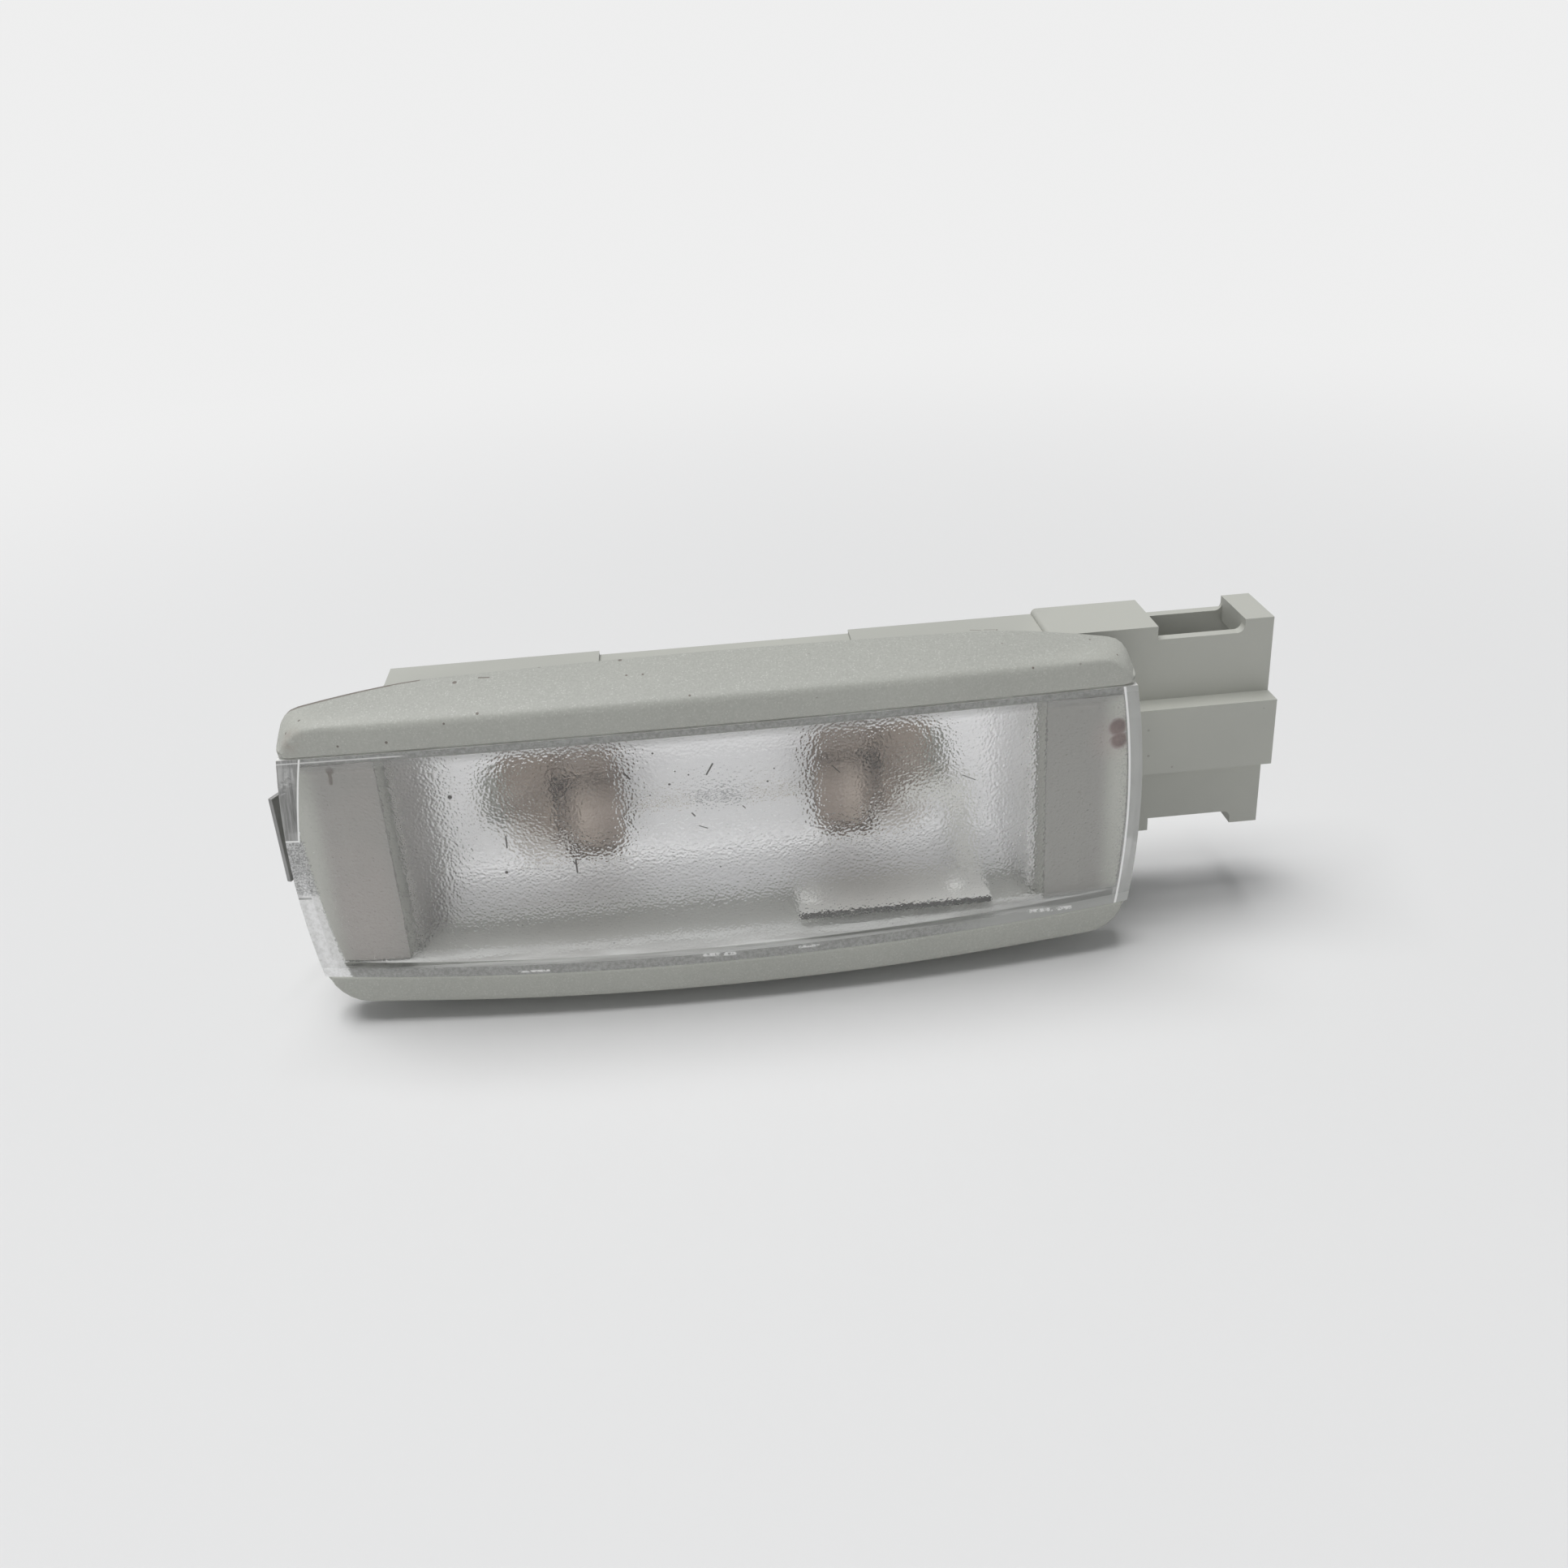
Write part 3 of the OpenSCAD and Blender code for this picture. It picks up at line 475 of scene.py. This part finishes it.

# Two ends and half the width of each painted glint, and of each hair and scratch, in millimetres
GLINTS = [
    ((-3.0, -7.0, -12.5), (0.1, -7.0, -12.65), 0.3),
    ((31.8, -5.35, -12.0), (36.4, -4.85, -12.3), 0.32),
    ((-22.5, -6.2, -12.9), (-19.4, -6.4, -12.95), 0.18),
    ((7.0, -6.9, -12.7), (9.0, -6.85, -12.7), 0.2),
]
LENS_HAIRS = [
    ((-1.13, -7.0, 8.43), (-0.45, -7.0, 9.54), 0.11),
    ((-9.21, -6.86, 9.32), (-8.69, -6.88, 8.62), 0.12),
    ((11.36, -6.79, 8.07), (12.09, -6.76, 7.23), 0.07),
    ((-21.64, -6.22, 3.2), (-21.69, -6.22, 1.94), 0.1),
    ((-15.02, -6.63, -0.03), (-15.02, -6.63, -1.42), 0.11),
    ((-15.02, -6.63, -0.6), (-15.3, -6.62, -0.1), 0.07),
    ((-2.9, -6.99, 4.3), (-2.65, -6.99, 3.95), 0.1),
    ((-2.3, -7.0, 2.8), (-1.5, -7.0, 2.45), 0.07),
    ((24.6, -5.99, 5.3), (25.9, -5.89, 4.6), 0.06),
    ((2.2, -6.99, 4.6), (2.45, -6.99, 4.3), 0.07),
]
# Centre and radius of each speck on the lens, in millimetres
LENS_DOTS = [
    ((-22.13, -6.19, -0.9), 0.2),
    ((-26.5, -5.84, 7.92), 0.26),
    ((-6.2, -6.94, 11.2), 0.13),
    ((-4.86, -6.96, 7.7), 0.15),
    ((-2.9, -6.99, 8.56), 0.11),
    ((4.84, -6.96, 7.06), 0.13),
    ((-4.2, -6.97, 9.06), 0.1),
    ((-6.87, -6.92, 6.66), 0.1),
    ((5.57, -6.95, 8.4), 0.1),
    ((-0.55, -7.0, -2.1), 0.1),
    ((-9.1, -6.86, 5.57), 0.1),
]


def see_through(f, glass, lit):
    """Glass that lets the light of the lamps and of the table through to what is behind it."""
    lighting = f.ray("Is Shadow Ray").most(f.ray("Is Diffuse Ray"))
    return f.done(f.either(lighting, glass, f.clear(lit)))


def lens_marks(f):
    """Hairs, scratches and specks on the front of the lens."""
    specks = f.cells(400, seed=7.7).ramp(0.045, 0.03) * f.cloud(170, seed=2.2).ramp(0.55, 0.62)
    marks = [f.stroke(*hair) for hair in LENS_HAIRS] + [f.spot(*dot) for dot in LENS_DOTS]
    return union(marks).most(specks * 0.5)


def clear_plastic(f, tint, rough, normal, clearness=1.0):
    """Clear plastic as a shader, for one side of the lens."""
    values = {
        "Base Color": tint,
        "Roughness": rough,
        "IOR": 1.42,
        "Transmission Weight": clearness,
        "Normal": normal,
    }
    return f.node("ShaderNodeBsdfPrincipled", None, values)


def milky(f, colour, rough=0.25):
    """Clear plastic painted pale and solid: painted light where it gathers light along an edge, and
    painted shading on the rim.
    """
    return f.node("ShaderNodeBsdfPrincipled", None, {"Base Color": colour, "Roughness": rough})


def inside_lens(f):
    """How far a place lies inside the long sides of the lens, and inside its ends."""
    side = LENS_HALF_HEIGHT - f.z.size() - f.x * f.x * LENS_SIDE_BOW
    end = LENS_HALF_LENGTH - f.x.size() - f.z * f.z * LENS_END_BOW
    return side, end


def line(distance, at, width):
    """Mask of a line where a distance has one value."""
    return (distance - at).size().ramp(width, width * 0.4)


def pry_slot(f, end, left):
    """Masks of the pry slot at the left end of the lens, painted dark with the shade inside it, and
    of the painted highlight round it.
    """
    above = f.z - SLOT_FLOOR
    inward = SLOT_WIDTH + above * SLOT_LEAN - end
    slot = left * above.ramp(-0.0001, 0.0001) * inward.ramp(0.0, 0.0001)
    floor = left * line(above, 0.0, SLOT_LINE) * inward.ramp(-0.0002, 0.0)
    side = left * line(inward, 0.0, SLOT_LINE) * above.ramp(-0.0003, 0.0)
    return slot, floor.most(side)


def lens_rim(f):
    """Colour and cover of the rim, painted on the front face: the shading of the lens walls seen
    through it, painted light at the lower right, the pry slot, and painted highlights along the
    ends.
    """
    side, end = inside_lens(f)
    left = f.x.ramp(*LEFT_END)
    right = 1 - left
    upper = f.z.ramp(*UPPER_HALF)
    low_left = left * f.z.ramp(*LOWER_LEFT)
    painted_light_lower_right = f.x.ramp(*LOWER_RIGHT) * f.z.ramp(*NEAR_LOWER_SIDE)

    ripple = f.cloud(2600, 3, 0.7)
    grit = f.cloud(5200, 2, 0.7)
    along_end = f.node("ShaderNodeCombineXYZ", None, [end, 0.0, f.z])
    streaks = f.cloud(2600, 3, 0.7, stretch=(1, 1, 0.08), seed=0.6, place=along_end).ramp(0.3, 0.7)
    shine = f.cloud(1900, 3, 0.7, seed=1.3).ramp(0.4, 0.56)

    band = side.ramp(*SIDE_BAND).most((1 - upper) * side.ramp(*LOWER_BAND))
    strip = end.ramp(*END_STRIP)
    cloudy = (end + (ripple + grit) * 0.0006 + f.z * 0.06).ramp(*CLOUDY_END)
    cloudy = cloudy * left * f.z.ramp(0.0037, 0.0034)
    frosted = right * end.ramp(*FROSTED_END) * grit.ramp(0.5, 0.62)
    slot, slot_line = pry_slot(f, end, left)
    # Painted highlights along the edges, round the slot and at the glints
    bright = union(
        [
            right * line(end, *RIGHT_LINE),
            slot_line,
            upper * left * line(side, *SEAM_LINE) * 0.6,
            union([f.stroke(*glint) for glint in GLINTS]) * shine * 0.8,
        ]
    )

    rim = LENS_RIM
    gritty = f.mix(grit.ramp(0.4, 0.62), rim["dark grit"], rim["light grit"])
    milk = f.mix(ripple.ramp(0.3, 0.6), rim["milk"], rim["white milk"])
    colour = f.coats(
        f.mix(ripple.ramp(0.3, 0.7), rim["dark band"], rim["light band"]),
        # Painted light over the shadowed gap at the lower right
        (painted_light_lower_right, rim["lower right"]),
        (strip * right, rim["right strip"]),
        (cloudy, f.mix(low_left, gritty, milk)),
        (slot, f.mix(streaks, rim["dark slot"], rim["light slot"])),
        (left * strip * line(f.z, *STEP_LINE), rim["step"]),
        (bright, rim["glint"]),
    )
    cover = union(
        [
            band * 0.9,
            side.ramp(*FAINT_BAND) * 0.45,
            strip * 0.6,
            cloudy * 0.7,
            slot * 0.85,
            bright * 0.95,
            frosted * 0.3,
            painted_light_lower_right * 0.55,
        ]
    )
    return colour, cover


def clear_lens():
    """The smooth outer side of the lens."""
    f = Finish("clear_lens")
    marks = lens_marks(f)
    tint = f.mix(marks * 0.9, (0.99, 0.99, 0.99), (0.1, 0.09, 0.08))
    glass = clear_plastic(f, tint, 0.03 + 0.3 * marks, f.bumped(f.cloud(90, 2), 0.0003, 0.12))
    rim_colour, rim_cover = lens_rim(f)
    pale = milky(f, f.coats(rim_colour, (marks, LENS_RIM["hair"])))
    return see_through(f, f.either(rim_cover.most(marks * 0.75), glass, pale), LIT_FACE)


def pebbled_lens():
    """The pebbled inner side of the lens, which blurs what is behind it."""
    f = Finish("pebbled_lens")
    pebble = f.cells(3600, "SMOOTH_F1").ramp(0.0, 0.8) + 0.8 * f.cloud(3400, 2)
    tint = f.mix(f.cloud(60, 3), (0.975, 0.975, 0.97), (0.995, 0.995, 0.99))
    glass = clear_plastic(f, tint, 0.09, f.bumped(pebble, 0.000052), clearness=0.97)
    return see_through(f, glass, LIT_FACE)


def lens_end():
    """The end walls of the lens, painted partly milky and pale for the light that they gather."""
    f = Finish("lens_end")
    ripple = f.cloud(1500, 3, stretch=(1, 1, 0.25))
    tint = f.mix(ripple.ramp(0.3, 0.7), (0.6, 0.605, 0.59), (0.84, 0.845, 0.83))
    glass = clear_plastic(f, (0.97, 0.97, 0.97, 1), 0.2, f.bumped(ripple, 0.00008, 0.8))
    return see_through(f, f.either(0.6, glass, milky(f, tint)), LIT_EDGE)


def lens_edge():
    """The cut edge of the lens, painted pale for the light that it collects."""
    f = Finish("lens_edge")
    streaks = f.cloud(900, 3, stretch=(0.12, 1, 1))
    tint = f.mix(streaks.ramp(0.3, 0.7), (0.6, 0.6, 0.58), (0.88, 0.89, 0.87))
    return see_through(f, milky(f, tint, 0.25 + 0.2 * streaks), LIT_EDGE)


# Finishes of the bulb and the metalwork

# The front face of the jumper strip is painted dark, as the shadow under its front edge
STRIP_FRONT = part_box("jumper_strip")[0].y
PAINTED_SHADOW_FRONT = (STRIP_FRONT + 0.0002, STRIP_FRONT + 0.0001)


def tube_glass():
    """Thin clear glass of the bulb, seen mostly along its edges."""
    f = Finish("tube_glass")
    edge = f.node("ShaderNodeLayerWeight", None, {"Blend": 0.35}, output="Facing")
    return principled(
        f,
        Base_Color=f.mix(f.cloud(160), (0.86, 0.87, 0.88), (0.8, 0.81, 0.82)),
        Roughness=0.03,
        Alpha=0.02 + 0.28 * edge**3.0,
        Normal=f.bumped(f.cloud(110, 2), 0.0002, 0.1),
    )


def bulb_cap():
    """Tarnished cap of the bulb, darker beside the glass."""
    f = Finish("bulb_cap")
    drift = f.cloud(300, 4, 0.6)
    colour = f.coats(
        (0.25, 0.205, 0.175),
        (f.x.size().ramp(0.0118, 0.0142), (0.37, 0.31, 0.265)),
        (drift.ramp(0.35, 0.7) * 0.4, (0.32, 0.26, 0.21)),
    )
    return principled(f, Base_Color=colour, Metallic=0.2, Roughness=0.45 + 0.15 * drift)


def metal(
    name, colour, stain, rough, per_metre=900, drawn=(1, 1, 1), patchy=0.5, sheen=0.92, front=None
):
    """Sheet or wire metal with a stain that drifts over it and fine drawn lines."""
    f = Finish(name)
    drift = f.cloud(per_metre, 4, 0.6)
    colour = f.mix(drift.ramp(0.35, 0.7) * patchy, colour, stain)
    if front:
        # A dark band painted along the front, as painted shadow
        colour = f.mix(f.y.ramp(*front), colour, (0.07, 0.07, 0.065))
    return principled(
        f,
        Base_Color=colour,
        Metallic=sheen,
        Roughness=rough + 0.18 * drift,
        Normal=f.bumped(f.cloud(2500, 2, stretch=drawn, seed=0.4), 0.00003, 0.35),
    )


# What each metal looks like. Drawn is the stretch of its fine lines along X, Y and Z.
METALS = {
    "solder": {"colour": (0.55, 0.55, 0.57), "stain": (0.35, 0.35, 0.36), "rough": 0.45},
    "tungsten": {"colour": (0.2, 0.2, 0.21), "stain": (0.1, 0.1, 0.12), "rough": 0.4},
    "lead_wire": {"colour": (0.5, 0.46, 0.4), "stain": (0.3, 0.27, 0.24), "rough": 0.35},
    "bronze": {
        "colour": (0.32, 0.265, 0.22),
        "stain": (0.22, 0.175, 0.145),
        "rough": 0.45,
        "per_metre": 260,
        "drawn": (1, 1, 0.1),
        "sheen": 0.35,
    },
    "rivet": {
        "colour": (0.36, 0.31, 0.27),
        "stain": (0.26, 0.22, 0.19),
        "rough": 0.4,
        "per_metre": 700,
        "sheen": 0.4,
    },
    # Rivet heads of the jumper strip: tinned, and painted near white as a painted highlight
    "painted_highlight_rivet": {
        "colour": (0.97, 0.97, 0.94),
        "stain": (0.85, 0.85, 0.82),
        "rough": 0.3,
        "per_metre": 700,
        "sheen": 0.3,
    },
    "tinned_strip": {
        "colour": (0.72, 0.71, 0.66),
        "stain": (0.5, 0.48, 0.44),
        "rough": 0.32,
        "per_metre": 300,
        "drawn": (0.1, 1, 1),
    },
    # Painted paler than the tinned strips, as painted light, with a painted shadow along its front
    "jumper_metal": {
        "colour": (0.85, 0.85, 0.82),
        "stain": (0.65, 0.65, 0.62),
        "rough": 0.4,
        "per_metre": 300,
        "drawn": (0.1, 1, 1),
        "patchy": 0.3,
        "sheen": 0.3,
        "front": PAINTED_SHADOW_FRONT,
    },
    "spring_steel": {
        "colour": (0.33, 0.33, 0.325),
        "stain": (0.19, 0.19, 0.185),
        "rough": 0.42,
        "per_metre": 220,
        "drawn": (1, 0.1, 1),
        "sheen": 0.6,
    },
}
LENS_SIDES = [clear_lens(), pebbled_lens(), lens_edge(), lens_end()]
FRONT, PEBBLES, CUT_EDGE, END_WALL = range(4)
FINISHES = {
    "housing_plastic": moulded_grey(),
    "lens_plastic": LENS_SIDES[FRONT],
    "silvered_plastic": silvered(),
    "bulb_glass": tube_glass(),
    "bulb_cap": bulb_cap(),
}
FINISHES.update((name, metal(name, **looks)) for name, looks in METALS.items())


# Pieces

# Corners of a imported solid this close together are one, and so are faces that bend this little
SAME_PLACE = 0.000002
SAME_SLOPE = math.radians(0.08)

# Edges that bend more than this are drawn sharp, or rounded
SHARP = math.radians(32)
ROUNDED = math.radians(28)

# Where the inner face, the long edges and the end walls of the lens lie, in metres
PEBBLED_DEPTH = (-0.0064, -0.0022)
LONG_EDGE_HEIGHT = 0.0115
END_WALL_REACH = 0.0405
END_WALL_FRONT = -0.0044

# The shown piece of each node: its name, its body, and the radius and steps of its edges
SHOWN = {
    "housing": ("housing_shell", "lamp", 0.00022, 2),
    "lens": ("lens_cover", "lamp", 0.0004, 3),
    "reflector": ("reflector_dish", "lamp", 0.0002, 2),
    "bulb_glass": ("bulb_tube", "lamp", 0, 0),
    "bulb_cap_left": ("cap_left", "lamp", 0, 0),
    "bulb_cap_right": ("cap_right", "lamp", 0, 0),
    "contact_left": ("contact_spring_left", "lamp", 0.00008, 2),
    "contact_right": ("contact_spring_right", "lamp", 0.00008, 2),
    "earth_strip": ("earth_strip_stamped", "lamp", 0.00008, 2),
    "live_strip": ("live_strip_stamped", "lamp", 0.00008, 2),
    "jumper_strip": ("jumper_strip_stamped", "lamp", 0.00008, 2),
    "spring_clip": ("spring_clip_leaf", "clip", 0.00008, 2),
}


def merged_copy(node):
    """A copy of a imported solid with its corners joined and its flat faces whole."""
    shape = bmesh.new()
    shape.from_mesh(frame["nodes"][node].data)
    bmesh.ops.remove_doubles(shape, verts=shape.verts, dist=SAME_PLACE)
    bmesh.ops.dissolve_degenerate(shape, edges=shape.edges, dist=SAME_PLACE)
    bmesh.ops.dissolve_limit(shape, angle_limit=SAME_SLOPE, verts=shape.verts, edges=shape.edges)
    return shape


def keep_outer_skin(shape):
    """Takes the inner skin out of thin glass, so that light has fewer layers to cross."""
    middle = sum((v.co for v in shape.verts), Vector()) / len(shape.verts)
    inner = [
        face for face in shape.faces if face.normal.dot(face.calc_center_median() - middle) < 0
    ]
    bmesh.ops.delete(shape, geom=inner, context="FACES")


def linked_object(name, data):
    """A new object of the scene for a mesh, a light or a camera."""
    made = bpy.data.objects.new(name, data)
    bpy.context.scene.collection.objects.link(made)
    return made


def piece_from(shape, name, node, body, materials):
    """Makes a bmesh the shown piece of a node."""
    mesh = bpy.data.meshes.new(name)
    shape.to_mesh(mesh)
    shape.free()
    mesh.shade_smooth()
    mesh.set_sharp_from_angle(angle=SHARP)
    for material in materials:
        mesh.materials.append(material)
    piece = linked_object(name, mesh)
    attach(piece, body)
    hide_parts(node)
    return piece


def side_of_lens(face):
    """Which of the lens's finishes a face has."""
    if face.normal.y > 0.9 and PEBBLED_DEPTH[0] < face.center.y < PEBBLED_DEPTH[1]:
        return PEBBLES
    if abs(face.normal.z) > 0.8 and abs(face.center.z) > LONG_EDGE_HEIGHT:
        return CUT_EDGE
    at_end = abs(face.center.x) > END_WALL_REACH and face.center.y > END_WALL_FRONT
    return END_WALL if at_end and face.normal.y > -0.5 else FRONT


def soften(piece, radius, steps):
    """Rounds a piece's sharp edges."""
    bevel = piece.modifiers.new("rounded_edges", "BEVEL")
    bevel.width = radius
    bevel.segments = steps
    bevel.limit_method = "ANGLE"
    bevel.angle_limit = ROUNDED
    bevel.use_clamp_overlap = True
    bevel.harden_normals = False
    bevel.miter_outer = "MITER_ARC"
    piece.modifiers.new("flat_faces_stay_flat", "WEIGHTED_NORMAL").keep_sharp = True


for name, node in frame["nodes"].items():
    # The rivets of the jumper strip get the painted highlight
    finish = "painted_highlight_rivet" if name.startswith("jumper_rivet") else SLOT_OF[name]
    node.data.materials.clear()
    node.data.materials.append(FINISHES[finish])

for node, (name, body, radius, steps) in SHOWN.items():
    shape = merged_copy(node)
    if node == "bulb_glass":
        keep_outer_skin(shape)
    materials = LENS_SIDES if node == "lens" else [FINISHES[SLOT_OF[node]]]
    piece = piece_from(shape, name, node, body, materials)
    if node == "lens":
        for face in piece.data.polygons:
            face.material_index = side_of_lens(face)
    if radius:
        soften(piece, radius, steps)


# Stage

# The table lies just under the lowest point of the lamp
FLOOR_Z = cad_box[0][2] - 0.00005
TABLE_RADIUS = 4
TABLE_SIDES = 96
PAPER_FADES = (0.12, 0.36)
PAPER = (0.75, 0.75, 0.75, 1)
BACKDROP = (0.86, 0.86, 0.86, 1)
ROOM_LIGHT = (0.96, 0.98, 1.0, 1)
ROOM_LEVEL = 0.22

# The camera stands where the photograph was taken from: place in millimetres, turn in degrees
CAMERA_PLACE = (-1.177, -140.274, 73.263)
CAMERA_TURN = (63.4192, 3.3238, -4.9369)
FOCAL_LENGTH = 34.455
FILM_WIDTH = 36


def table_top():
    """White table that fades into the backdrop far from the lamp."""
    f = Finish("table_top")
    fade = f.vector("LENGTH", f.place, output="Value").ramp(*PAPER_FADES)
    values = {"Base Color": PAPER, "Roughness": 0.6, "Specular IOR Level": 0.2}
    paper = f.node("ShaderNodeBsdfPrincipled", None, values)
    return f.done(f.either(fade, paper, f.node("ShaderNodeEmission", None, [BACKDROP, 1.0])))


def lay_table():
    """A round table under the lamp."""
    shape = bmesh.new()
    bmesh.ops.create_circle(shape, cap_ends=True, radius=TABLE_RADIUS, segments=TABLE_SIDES)
    bmesh.ops.translate(shape, vec=(0, 0, FLOOR_Z), verts=shape.verts)
    mesh = bpy.data.meshes.new("table_top")
    shape.to_mesh(mesh)
    shape.free()
    mesh.materials.append(table_top())
    linked_object("table_top", mesh)


def light_room():
    """A pale room that gives little light, but shows as the white backdrop."""
    world = bpy.data.worlds.new("studio")
    bpy.context.scene.world = world
    world.use_nodes = True
    room = Recipe(world.node_tree)
    soft = room.node("ShaderNodeBackground", None, [ROOM_LIGHT, ROOM_LEVEL])
    white = room.node("ShaderNodeBackground", None, [BACKDROP, 1.0])
    kinds = ("Is Camera Ray", "Is Transmission Ray", "Is Glossy Ray")
    shown = union([room.node("ShaderNodeLightPath", output=kind) for kind in kinds])
    seen = room.node("ShaderNodeMixShader", None, [shown, soft, white])
    room.node("ShaderNodeOutputWorld", None, [seen])


def softbox(name, where, size, power):
    """A square soft light aimed at the lamp."""
    data = bpy.data.lights.new(name, "AREA")
    data.shape = "SQUARE"
    data.size = size
    data.energy = power
    light = linked_object(name, data)
    light.location = where
    light.rotation_mode = "QUATERNION"
    light.rotation_quaternion = Vector(where).to_track_quat("Z", "Y")


def place_camera():
    """A camera close in front of the lamp, looking down on it."""
    data = bpy.data.cameras.new("camera")
    data.sensor_width = FILM_WIDTH
    data.lens = FOCAL_LENGTH
    data.clip_start = 0.005
    camera = linked_object("camera", data)
    camera.location = mm(*CAMERA_PLACE)
    camera.rotation_euler = Euler([math.radians(turn) for turn in CAMERA_TURN])
    bpy.context.scene.camera = camera


lay_table()
light_room()
softbox("top_light", (-0.5, 0.13, 2.5), 1.8, 61)
softbox("front_fill", (-0.2, -1.6, 0.08), 1.3, 6.1)
place_camera()
bpy.context.scene.view_settings.view_transform = "Standard"
